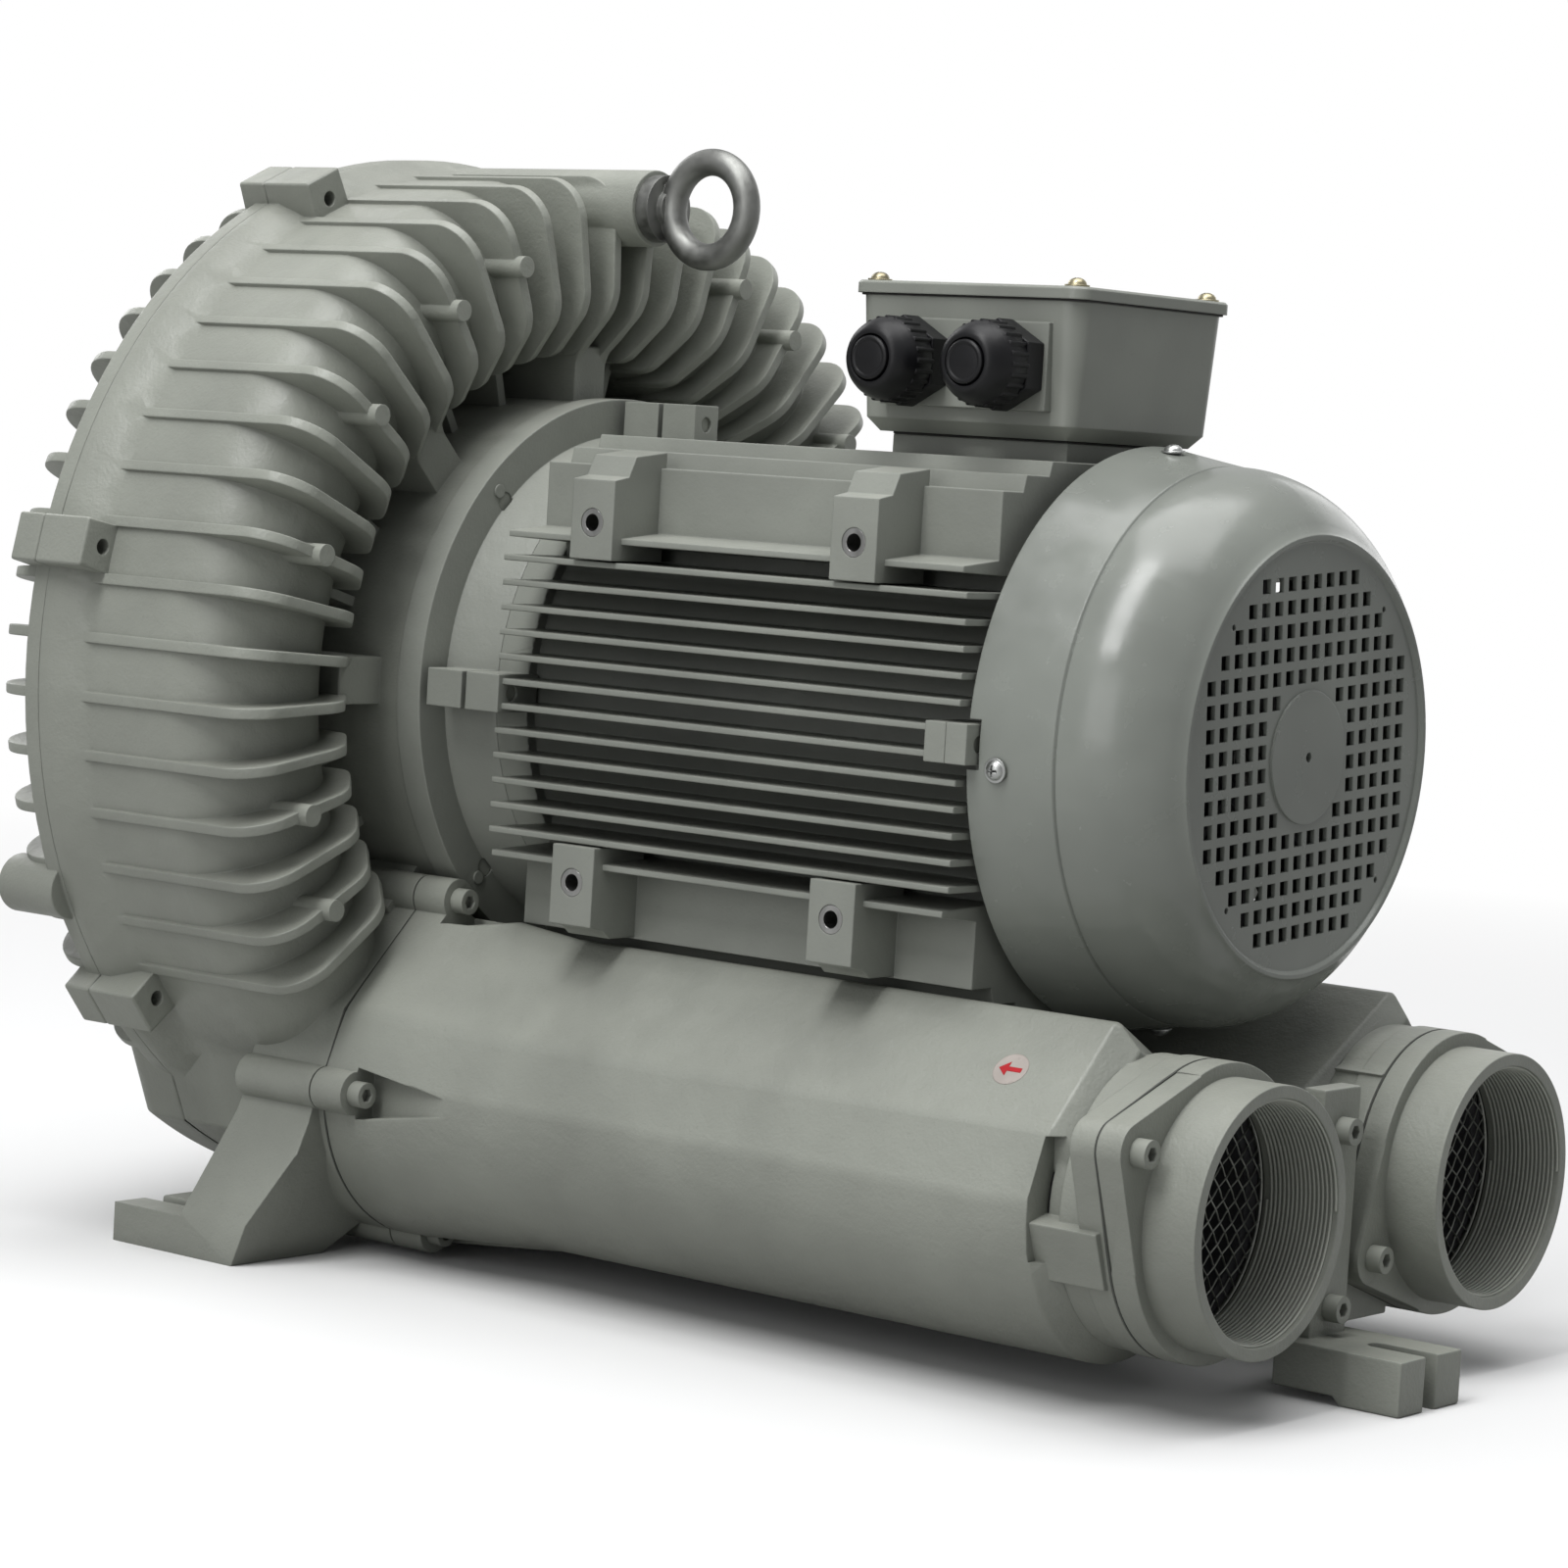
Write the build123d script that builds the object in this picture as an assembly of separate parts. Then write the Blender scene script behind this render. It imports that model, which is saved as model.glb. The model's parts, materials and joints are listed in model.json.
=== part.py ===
from build123d import *

import math
import os

"""Single-stage side channel blower with a flange-mounted motor and two silencers.

Millimetres. Every shape is drawn about the motor axis, which is the line x = 0, z = 0 along Y,
with y = 0 at the face where the motor flange meets the blower housing. The fan cowl and the
two ports look towards -Y and the blower cover towards +Y. When a shape is written it is moved
so that the origin is on the floor under the middle of the machine.
"""

# ---------------------------------------------------------------- driving dimensions
axis_height = 295.0          # motor axis above the floor
seat_clearance = 0.1         # radial clearance of a located or screwed joint
gasket_thickness = 1.0

# blower ring
fin_count = 56               # fin pitches in a full turn
fins_each_side = 20
fin_thickness = 5.5
fin_outer_radius = 266.0
fin_front_y = -12.0
fin_flat_radius = 199.0      # where the front edge of a fin turns into its chamfer
fin_inner_radius = 172.0
fin_chamfer_depth = 26.0
fin_corner_radius = 22.0
fin_back_y = 107.0           # inside the flare of the rim
fin_pad_radius = 5.5         # round pads on the front edge of some fins
fin_pad_circle = 231.0
fin_pad_height = 5.0
padded_fins = (3, 5, 8, 11, 16, 18)
rim_radius = 273.0
rim_thickness = 8.0
rim_flare_y = 92.0           # where the rim starts to flare out of the ring
split_y = 130.0              # joint between housing and cover
channel_radius = 219.0       # pitch radius of the side channel
channel_outer_radius = 45.0  # outside of its half-round wall
channel_wall = 8.0
channel_y = 50.0
web_y = 84.0                 # front of the disc that joins ring and hub
web_thickness = 10.0
hub_radius = 148.0
hub_bore_radius = 118.0
hub_block_y = 14.0           # front of the eight blocks round the hub
hub_block_width = 24.0
hub_rib_y = 40.0
hub_rib_thickness = 5.0
sump_radius = 287.0          # round belly under the ring, on both halves of the casing
sump_start_angle = 229.0     # where the belly leaves the ring, counted from +X towards +Z
sump_round = 14.0

# cover
cover_depth = 42.0
cover_channel_radius = 36.0
cover_wall = 8.0
cover_plate = 10.0
cover_hub_radius = 50.0
cover_hub_recess_radius = 34.0
cover_hub_height = 20.0
cover_fin_inner_radius = 160.0
cover_fin_corner = 24.0
cover_rib_count = 8
cover_sump_depth = 36.0
cover_boss = (-240.6, -116.0, 15.0)  # x, z and radius of the plugged boss

# joint lugs round the ring
lug_count = 7
lug_width = 25.0
lug_length = 33.0
cover_lug_length = 18.0
lug_outer_radius = 284.0
lug_bolt_radius = 271.0
m8_radius = 4.0              # screw holes; the shanks are a clearance smaller
m8_head_radius = 6.5
m8_head_height = 8.0
m8_key_flats = 6.0
m8_hex_flats = 13.0
m8_hex_height = 5.3

# lifting point
eyebolt_height = 250.0       # above the motor axis
eyebolt_boss_radius = 20.0
eyebolt_boss_y = -26.0
eyebolt_thread_radius = 8.0
eyebolt_thread_length = 27.0
eyebolt_ring_radius = 24.5   # middle of the round bar
eyebolt_bar_radius = 7.0
eyebolt_collar_radius = 17.5
eyebolt_collar_height = 8.0
eyebolt_reach = 36.0         # collar seat to the middle of the eye

# silencers and ports
port_x = 103.0
port_drop = 201.5            # port axis below the motor axis
silencer_radius = 77.0
silencer_inner_edge = (-76.0, 30.0)  # corners outward and upward from the port axis
silencer_ridge = (17.0, 83.0)
silencer_shoulder = (66.0, 34.0)
silencer_side = (77.0, 6.0)
silencer_swell = 1.10        # section at the ring end over the section along the body
silencer_swell_start_y = -28.0
silencer_swell_end_y = -104.0
silencer_bevel = 12.0        # bevel round the port end of the body
silencer_step_y = -441.0     # where the roof steps down to the port
pocket_corners = ((-192.0, -168.0), (-162.0, -168.0), (-158.0, -224.0), (-192.0, -224.0))
pocket_y = -428.0
bracket_corners = ((-178.0, -206.0), (-150.0, -200.0), (-140.0, -236.0), (-168.0, -232.0))
silencer_end_y = -466.0
neck_radius = 68.0
neck_roof = ((-50.0, 50.0), (14.0, 66.0), (58.0, 36.0))
silencer_bore_radius = 60.0
silencer_end_wall = 12.0
liner_bore_radius = 48.0
duct_radius = 38.0
duct_back_y = 52.0
silencer_bolt_spots = ((84.0, -2.0), (16.0, 92.0), (-78.0, -20.0), (20.0, -78.0))
silencer_bolt_seat_y = -22.0
silencer_bolt_length = 38.0
silencer_boss_radius = 11.0
silencer_pocket_length = 66.0
silencer_pocket_size = 26.0
port_face_y = -507.6
port_outer_radius = 62.3
port_bore_radius = 55.0      # minor radius of the G4 thread
port_flange_thickness = 13.0
port_flange_radius = 69.0
port_lug_radius = 13.0
port_bolt_circle = 78.0
port_lug_angle = 26.0        # tilt of the line through both lugs
port_bolt_length = 30.0
screen_radius = 65.0
screen_rim = 8.0
screen_thickness = 3.0
screen_wire = 1.2
screen_pitch = 9.5

# feet
front_foot_outer_x = 220.0
front_foot_back_y = 113.0
foot_pad_height = 20.0
foot_side_view = ((26.0, -295.0), (113.0, -295.0), (113.0, -275.0), (64.0, -275.0),
                  (50.0, -200.0), (3.0, -200.0), (3.0, -237.0))
foot_front_view = ((-220.0, -295.0), (-220.0, -273.0), (-194.0, -222.0), (-186.0, -196.0),
                   (-120.0, -196.0), (-120.0, -270.0), (-155.0, -295.0))
foot_slot_width = 12.0
foot_slot_length = 34.0
foot_slot_x = -192.0
rear_foot_width = 55.0
rear_foot_tip_y = -535.0
rear_foot_pad_y = -503.0
rear_foot_height = 26.0
rear_foot_relief = 4.0
rear_slot_width = 10.5
rear_slot_depth = 34.0
rear_plate_thickness = 12.0
rear_plate_width = 32.0
rear_plate_top = -152.0
rear_lug_half_height = 13.0
rear_lug_depth = 14.0
rear_bolt_heights = (-172.0, -256.0)

# motor
flange_radius = 150.0
flange_thickness = 15.8
flange_bolt_circle = 132.5
flange_bolt_angles = (45, 135, 225, 315)
flange_bolt_radius = 5.0
flange_bolt_seat_y = 22.0    # inside the hub
flange_bolt_head_radius = 8.0
flange_bolt_head_height = 8.0
spigot_height = 5.0
shield_radius = 131.0        # drive-end shield beside the flange
shield_joint_radius = 124.0
shield_joint_y = -44.5
shield_wall = 8.0
frame_fin_front_y = -64.0
frame_fin_back_y = -349.0
frame_back_y = -344.0
frame_core_radius = 118.0
frame_bore_radius = 97.0
frame_fin_tip = 146.0        # half width over the side fins
frame_fin_pitch = 12.3
frame_fin_count = 12
frame_fin_thickness = 3.0
frame_steps = ((78.0, 131.0), (98.0, 124.0), (116.0, 116.0))  # half width, height
frame_ledge = (143.0, 80.0)
foot_boss_face = 150.0
foot_boss_width = 27.0
foot_boss_section = ((112.0, 70.0), (150.0, 70.0), (150.0, 109.0), (140.0, 111.0),
                     (135.0, 121.0), (112.0, 124.0))
foot_boss_low = 115.0        # the lower bosses stop here, clear of the silencers' ridges
foot_insert_height = 88.0
foot_insert_ys = (-124.0, -285.0)
insert_radius = 7.0
insert_bore_radius = 4.2     # M10 minor radius
insert_depth = 22.0
side_lug_reach = 149.0
side_lug_width = 19.0
side_lug_length = 22.0
side_lug_gap = 3.0
side_lug_bolt_circle = 139.0
rear_lug_length = 12.0
stud_inset = 1.5             # how far the ends of the lug studs lie inside the lugs
rear_lug_angles = (0, 180)
wire_hole_radius = 10.0
rear_shield_radius = 122.0
rear_shield_thickness = 10.0

# rotating parts
shaft_radius = 24.0
shaft_end_radius = 19.0      # drive end, under the impeller and the seal
bearing_seat_radius = 20.0
bearing_outer_radius = 45.0
bearing_width = 23.0
bearing_roller_radius = 7.5
bearing_roller_length = 16.0
bearing_roller_count = 10
bearing_lip_radius = 26.0
drive_bearing_y = -34.0      # middle of the drive-end bearing
rear_bearing_y = -331.0
seal_width = 9.0
rotor_radius = 62.0
air_gap = 0.5
core_length = 165.0
core_middle_y = -185.0
winding_overhang = 32.0
winding_inner_radius = 68.0
winding_outer_radius = 92.0
cage_ring_depth = 12.0
cage_ring_inner_radius = 40.0
impeller_radius = 252.0
impeller_ring_radius = 186.0
impeller_ring_wall = 6.0
impeller_front_y = 60.0
impeller_back_y = 124.0
impeller_vanes = 40
impeller_vane_thickness = 4.0
impeller_disc_thickness = 10.0
impeller_hub_radius = 46.0
impeller_hub_length = 26.0
key_width = 6.0
key_height = 6.0
end_washer_radius = 28.0
end_washer_thickness = 3.0
end_screw_radius = 5.0
end_screw_head = (8.0, 6.0)
fan_radius = 112.0
fan_blades = 8
fan_blade_thickness = 3.0
fan_front_y = -376.0
fan_depth = 40.0
fan_hub_radius = 30.0
fan_disc_radius = 72.0
fan_seat_radius = 17.0
circlip_thickness = 1.8
shaft_rear_y = -424.0
shaft_drive_end_y = 122.0
end_screw_length = 27.0
circlip_groove_depth = 1.5
seal_gap = 0.4
roller_gap = 0.5
spring_height = 3.0
spring_width = 7.0

# fan cowl
cowl_radius = 141.2
cowl_rear_y = -351.0
cowl_groove_y = -394.6
cowl_groove_radius = 132.5
cowl_groove_depth = 1.2
cowl_shoulder = (126.5, -424.0)  # a point halfway along the round shoulder
cowl_ridge_radius = 106.0
cowl_ridge_height = 2.2
cowl_face_y = -445.0
cowl_face_radius = 101.0
cowl_wall = 2.5
cowl_turn = 4.2              # the cowl sits a few degrees round from level
grille_pitch = 11.0
grille_hole = 6.7
grille_rows = ((6, 16), (6, 16), (4, 16), (0, 16), (0, 14), (0, 12), (0, 10), (0, 8))
grille_boss_radius = 31.6
grille_boss_height = 1.2
grille_pin_circle = 92.5
grille_pin_radius = 1.5
cowl_screw_y = -366.0
cowl_screw_radius = 2.5
cowl_screw_head = (4.6, 3.2)
cowl_ear_radius = 132.8
cowl_ear_width = 16.0
cowl_ear_tip_y = -374.0

# terminal box
box_width = 127.0
box_length = 133.0
box_middle_y = -277.0
box_low_z = 141.0
box_top_z = 206.5
box_draft = 4.0              # degrees
box_corner = 7.0
box_chamfer = 6.5
box_wall = 4.0
plinth_width = 92.0
plinth_length = 104.0
lid_thickness = 6.0
lid_overhang = 2.0
lid_screw_inset = 8.0
lid_screw_radius = 2.5
lid_screw_head = (4.6, 3.4)
lid_washer = (6.0, 1.0)
pad_face_x = -65.5           # flat pad that carries the glands
gland_height = 175.0
gland_ys = (-251.0, -307.0)
gland_thread_radius = 16.0
gland_flats = 38.0
gland_body_length = 13.0
gland_nut_length = 24.0
gland_plug_radius = 11.0
gland_plug_proud = 1.0
gland_thread_length = 14.0
gland_sleeve_radius = 14.0
gland_nut_turn = 30.0
pad_margin = 21.0
board_size = (70.0, 44.0, 9.0)
stud_radius = 2.5
stud_height = 16.0
stud_pitch = 20.0

# ---------------------------------------------------------------- derived places
fin_pitch = 360.0 / fin_count
cover_back_y = split_y + cover_depth
place = Pos(0, -(rear_foot_tip_y + cover_back_y) / 2, axis_height)
floor_z = -axis_height
lug_angles = [270 + i * 360 / lug_count for i in range(lug_count)]
fin_angles = [90 + side * (i + 0.5) * fin_pitch for side in (1, -1) for i in range(fins_each_side)]
channel_outside = channel_radius + channel_outer_radius
channel_inside = channel_radius - channel_outer_radius
port_flange_y = silencer_end_y - gasket_thickness
impeller_hub_y = impeller_back_y - impeller_hub_length
bearing_pitch_radius = (bearing_seat_radius + bearing_outer_radius) / 2
core_front_y = core_middle_y - core_length / 2
core_back_y = core_middle_y + core_length / 2
box_floor_z = box_low_z + box_wall


# ---------------------------------------------------------------- drawing helpers
def along_y(sketch, y_back, y_front):
    """Prism of an XZ sketch between two planes across the motor axis."""
    plane = Plane(origin=(0, y_back, 0), x_dir=(1, 0, 0), z_dir=(0, -1, 0))
    return extrude(plane * sketch, amount=y_back - y_front)


def rod(radius, y_back, y_front, x=0.0, z=0.0):
    """Round bar along Y."""
    return along_y(Pos(x, z) * Circle(radius), y_back, y_front)


def tube(outer, inner, y_back, y_front, x=0.0, z=0.0):
    return along_y(Pos(x, z) * (Circle(outer) - Circle(inner)), y_back, y_front)


def cross_rod(radius, x0, x1, y, z):
    """Round bar along X."""
    return Pos((x0 + x1) / 2, y, z) * Rot(0, 90, 0) * Cylinder(radius, abs(x1 - x0))


def block(x0, x1, y0, y1, z0, z1):
    """Box between two corners."""
    return Pos((x0 + x1) / 2, (y0 + y1) / 2, (z0 + z1) / 2) * Box(x1 - x0, y1 - y0, z1 - z0)


def outline(points):
    """Filled polygon."""
    return make_face(Polyline(*points, close=True))


def turned(points):
    """Solid of revolution about the motor axis from (radius, y) corners."""
    return revolve(outline(points), Axis.Y, 360)


def around(shape, angle):
    """Turn a shape drawn at +X about the motor axis, counted from +X towards +Z."""
    return Rot(0, -angle, 0) * shape


def mirrored(shape):
    """Copy on the other side of the plane x = 0."""
    return mirror(shape, about=Plane.YZ)


def pair(name, shape):
    """The same piece on the left and, handed, on the right."""
    return {name + "_left": shape, name + "_right": mirrored(shape)}


def socket_screw(length, seat_y, x, z):
    """M8 socket-head screw whose head sits on seat_y and looks towards -Y."""
    head = rod(m8_head_radius, seat_y, seat_y - m8_head_height, x, z)
    key = along_y(Pos(x, z) * RegularPolygon(m8_key_flats / 2, 6, major_radius=False),
                  seat_y - m8_head_height / 2, seat_y - m8_head_height - 1)
    return head + rod(m8_radius - seat_clearance, seat_y + length, seat_y, x, z) - key


# ---------------------------------------------------------------- blower casing
def ring_fin():
    """One plate fin: level along the band, round corner, flat front, chamfered inner end."""
    face = outline([(fin_outer_radius, fin_back_y), (fin_outer_radius, fin_front_y),
                    (fin_flat_radius, fin_front_y),
                    (fin_inner_radius, fin_front_y + fin_chamfer_depth),
                    (fin_inner_radius, channel_y), (channel_radius, channel_y),
                    (channel_radius, fin_back_y)])
    corner = face.vertices().sort_by_distance((fin_outer_radius, fin_front_y, 0))[0]
    return extrude(fillet(corner, fin_corner_radius), amount=fin_thickness / 2, both=True)


def trough(radius, centre_y, end_y):
    """Solid ring with a half-round nose beyond centre_y and a flat face at end_y."""
    nose_y = centre_y - math.copysign(radius, end_y - centre_y)
    outer, inner = channel_radius + radius, channel_radius - radius
    nose = ThreePointArc((outer, centre_y), (channel_radius, nose_y), (inner, centre_y))
    sides = Polyline((inner, centre_y), (inner, end_y), (outer, end_y), (outer, centre_y))
    return revolve(make_face(nose + sides), Axis.Y, 360)


def joint_lugs(y_front, y_back):
    inner = channel_outside - channel_wall / 2
    lug = block(inner, lug_outer_radius, y_front, y_back, -lug_width / 2, lug_width / 2)
    return [around(lug, a) for a in lug_angles]


def joint_lug_holes(y_front, y_back):
    return [around(rod(m8_radius, y_back + 1, y_front - 1, lug_bolt_radius), a)
            for a in lug_angles]


def sump(y_back, y_front):
    """Round belly under the ring, on both halves of the casing."""
    start = math.radians(sump_start_angle)
    run = math.radians(sump_start_angle + 8)
    near = (channel_outside * math.cos(start), channel_outside * math.sin(start))
    far = (sump_radius * math.cos(run), sump_radius * math.sin(run))
    belly = ThreePointArc(far, (0, -sump_radius), (-far[0], far[1]))
    sides = Polyline((-far[0], far[1]), (-near[0], near[1]), near, far)
    return along_y(make_face(belly + sides), y_back, y_front)


def silencer_section(scale):
    """Outline of the left silencer about its port axis: roof ridge, shoulder, round belly."""
    radius = silencer_radius * scale
    roof_corners = [(-u * scale, w * scale) for u, w in
                    (silencer_inner_edge, silencer_ridge, silencer_shoulder, silencer_side)]
    belly = ThreePointArc((-radius, 0), (0, -radius), (radius, 0))
    roof = Polyline((radius, 0), *roof_corners, (-radius, 0))
    return Pos(-port_x, -port_drop) * make_face(belly + roof)


def foot_leg():
    """Left front leg: a pad with a slot open to the back and a web that leans forward."""
    side = extrude(Plane.YZ * outline(foot_side_view), amount=front_foot_outer_x, both=True)
    front = along_y(outline(foot_front_view), front_foot_back_y + 1, -1)
    slot_end = front_foot_back_y - foot_slot_length
    half = foot_slot_width / 2
    slot = block(foot_slot_x - half, foot_slot_x + half, slot_end, front_foot_back_y + 1,
                 floor_z - 1, floor_z + foot_pad_height + 1)
    slot += Pos(foot_slot_x, slot_end, floor_z + foot_pad_height / 2) * Cylinder(
        half, foot_pad_height + 2)
    return (side & front) - slot


def housing_form():
    """Outside of the motor-side casting before its spaces are cut."""
    wall_middle = channel_outside - channel_wall / 2
    rim = turned([(wall_middle, rim_flare_y), (rim_radius, split_y - rim_thickness),
                  (rim_radius, split_y), (wall_middle, split_y)])
    disc = turned([(shaft_end_radius + seal_width, web_y), (channel_inside + 1, web_y),
                   (channel_inside + 1, web_y + web_thickness),
                   (shaft_end_radius + seal_width, web_y + web_thickness)])
    hub = turned([(hub_bore_radius, 0), (hub_radius, 0), (hub_radius, web_y + 1),
                  (hub_bore_radius, web_y + 1)])
    fins = [around(ring_fin(), a) for a in fin_angles]
    pads = [around(rod(fin_pad_radius, channel_y, fin_front_y - fin_pad_height, fin_pad_circle),
                   90 + side * (k + 0.5) * fin_pitch) for side in (1, -1) for k in padded_fins]
    stay = block(hub_radius - 4, channel_inside + 3, hub_block_y, web_y + 2,
                 -hub_block_width / 2, hub_block_width / 2)
    rib = block(hub_radius - 4, channel_inside + 3, hub_rib_y, web_y + 2,
                -hub_rib_thickness / 2, hub_rib_thickness / 2)
    stays = [around(stay, a) for a in range(0, 360, 45)]
    stays += [around(rib, a + 15 * i) for a in range(0, 360, 45) for i in (1, 2)]
    lift = rod(eyebolt_boss_radius, fin_back_y + 6, eyebolt_boss_y, 0, eyebolt_height)
    lower = along_y(silencer_section(silencer_swell), duct_back_y, 0).fuse(foot_leg())
    for u, w in silencer_bolt_spots:
        lower = lower.fuse(rod(silencer_boss_radius, duct_back_y, 0, -port_x - u, -port_drop + w))
    shell = trough(channel_outer_radius, channel_y, split_y)
    return shell.fuse(rim, disc, hub, lift, lower, mirrored(lower), sump(split_y, duct_back_y - 2),
                      *fins, *pads, *stays, *joint_lugs(split_y - lug_length, split_y))


def blower_housing():
    core = channel_outer_radius - channel_wall
    web_back_y = web_y + web_thickness
    cuts = [trough(core, channel_y, split_y + 1),
            turned([(0, web_back_y), (channel_radius, web_back_y),
                    (channel_radius, split_y + 1), (0, split_y + 1)]),
            turned([(0, -1), (hub_bore_radius, -1), (hub_bore_radius, web_y), (0, web_y)]),
            rod(eyebolt_thread_radius, eyebolt_boss_y + eyebolt_thread_length + 3,
                eyebolt_boss_y - 1, 0, eyebolt_height)]
    bolt_depth = silencer_bolt_length + silencer_bolt_seat_y + 2
    for side in (-1, 1):
        cuts.append(rod(duct_radius, channel_y, -1, side * port_x, -port_drop))
        cuts += [rod(m8_radius, bolt_depth, -1, side * (port_x + u), -port_drop + w)
                 for u, w in silencer_bolt_spots]
    cuts += joint_lug_holes(split_y - lug_length, split_y)
    for a in flange_bolt_angles:
        cuts.append(around(rod(flange_bolt_radius, flange_bolt_seat_y + 1, -1,
                               flange_bolt_circle), a))
        cuts.append(around(rod(flange_bolt_head_radius + 1, web_back_y + 1, flange_bolt_seat_y,
                               flange_bolt_circle), a))
    return housing_form().cut(*cuts)


def cover_fin():
    """Radial fin over the back of the cover: round outer corner, sloping inner end."""
    outer = rim_radius - 3
    slope = cover_fin_inner_radius + 24
    face = outline([(outer, split_y + 2), (outer, cover_back_y), (slope, cover_back_y),
                    (cover_fin_inner_radius, cover_back_y - 16),
                    (cover_fin_inner_radius, split_y + 2)])
    corner = face.vertices().sort_by_distance((outer, cover_back_y, 0))[0]
    return extrude(fillet(corner, cover_fin_corner), amount=fin_thickness / 2, both=True)


def blower_cover():
    plate_back_y = split_y + cover_plate
    shell = trough(cover_channel_radius, split_y + 2, split_y)
    plate = turned([(0, split_y), (rim_radius, split_y), (rim_radius, plate_back_y),
                    (0, plate_back_y)])
    hub = rod(cover_hub_radius, split_y + cover_hub_height + 6, split_y)
    rib = block(cover_hub_radius - 4, cover_fin_inner_radius + 4, split_y + 2,
                split_y + cover_hub_height, -fin_thickness / 2, fin_thickness / 2)
    ribs = [around(rib, a * 360 / cover_rib_count) for a in range(cover_rib_count)]
    fins = [around(cover_fin(), 90 + (k + 0.5) * fin_pitch) for k in range(fin_count)]
    belly = sump(split_y + cover_sump_depth, split_y)
    belly = fillet(belly.faces().sort_by(Axis.Y)[-1].edges(), sump_round)
    boss_x, boss_z, boss_radius = cover_boss
    boss = rod(boss_radius, cover_back_y, split_y + 2, boss_x, boss_z)
    form = shell.fuse(plate, hub, belly, boss, *ribs, *fins,
                      *joint_lugs(split_y, split_y + cover_lug_length))
    heads = [around(rod(m8_head_radius + 2, cover_back_y, split_y + cover_lug_length,
                        lug_bolt_radius), a) for a in lug_angles]
    return form.cut(trough(cover_channel_radius - cover_wall, split_y + 2, split_y - 1),
                    rod(cover_hub_recess_radius, split_y + cover_hub_height - 6, split_y - 1),
                    *joint_lug_holes(split_y, split_y + cover_lug_length), *heads)


def cover_bolts():
    """Hex bolts that close the ring, heads on the cover side."""
    seat_y = split_y + cover_lug_length
    hexagon = Pos(lug_bolt_radius, 0) * RegularPolygon(m8_hex_flats / 2, 6, major_radius=False)
    bolt = along_y(hexagon, seat_y + m8_hex_height, seat_y)
    bolt += rod(m8_radius - seat_clearance, seat_y, split_y - lug_length + 9, lug_bolt_radius)
    return [around(bolt, a) for a in lug_angles]


def lifting_eyebolt():
    """Forged eyebolt screwed into the lifting boss, its eye upright along the machine."""
    seat = eyebolt_boss_y
    shank = rod(eyebolt_thread_radius - seat_clearance, seat + eyebolt_thread_length, seat,
                0, eyebolt_height)
    collar = rod(eyebolt_collar_radius, seat, seat - eyebolt_collar_height, 0, eyebolt_height)
    neck = rod(eyebolt_bar_radius + 3, seat - eyebolt_collar_height,
               seat - eyebolt_reach + eyebolt_ring_radius, 0, eyebolt_height)
    ring = Pos(0, seat - eyebolt_reach, eyebolt_height) * Rot(0, 90, 0) * Torus(
        eyebolt_ring_radius, eyebolt_bar_radius)
    return shank + collar + neck + ring


# ---------------------------------------------------------------- silencers and ports
def port_plate():
    """Outline of the left port flange: a round with two lugs joined by straight flanks."""
    lugs = [Pos(s * port_bolt_circle, 0) * Circle(port_lug_radius) for s in (-1, 1)]
    edges = [e for disc in [Circle(port_flange_radius), *lugs] for e in disc.edges()]
    return Pos(-port_x, -port_drop) * Rot(0, 0, -port_lug_angle) * make_hull(edges)


def port_bolt_places():
    """Centres of the two screws of the left port flange."""
    tilt = math.radians(-port_lug_angle)
    return [(-port_x + s * port_bolt_circle * math.cos(tilt),
             -port_drop + s * port_bolt_circle * math.sin(tilt)) for s in (-1, 1)]


def silencer_slice(y, scale):
    """Silencer outline set across the machine at y."""
    plane = Plane(origin=(0, y, 0), x_dir=(1, 0, 0), z_dir=(0, -1, 0))
    return plane * silencer_section(scale)


def screw_pocket(x, z, seat):
    """Wedge-shaped recess in front of a silencer screw, tapering away along the body."""
    tip_y = seat - silencer_pocket_length
    wide = Plane(origin=(x, seat, z), x_dir=(1, 0, 0), z_dir=(0, -1, 0))
    narrow = Plane(origin=(x, tip_y, z), x_dir=(1, 0, 0), z_dir=(0, -1, 0))
    size = silencer_pocket_size
    return loft([wide * Rectangle(size, size), narrow * Rectangle(size / 5, size / 5)],
                ruled=True)


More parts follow.
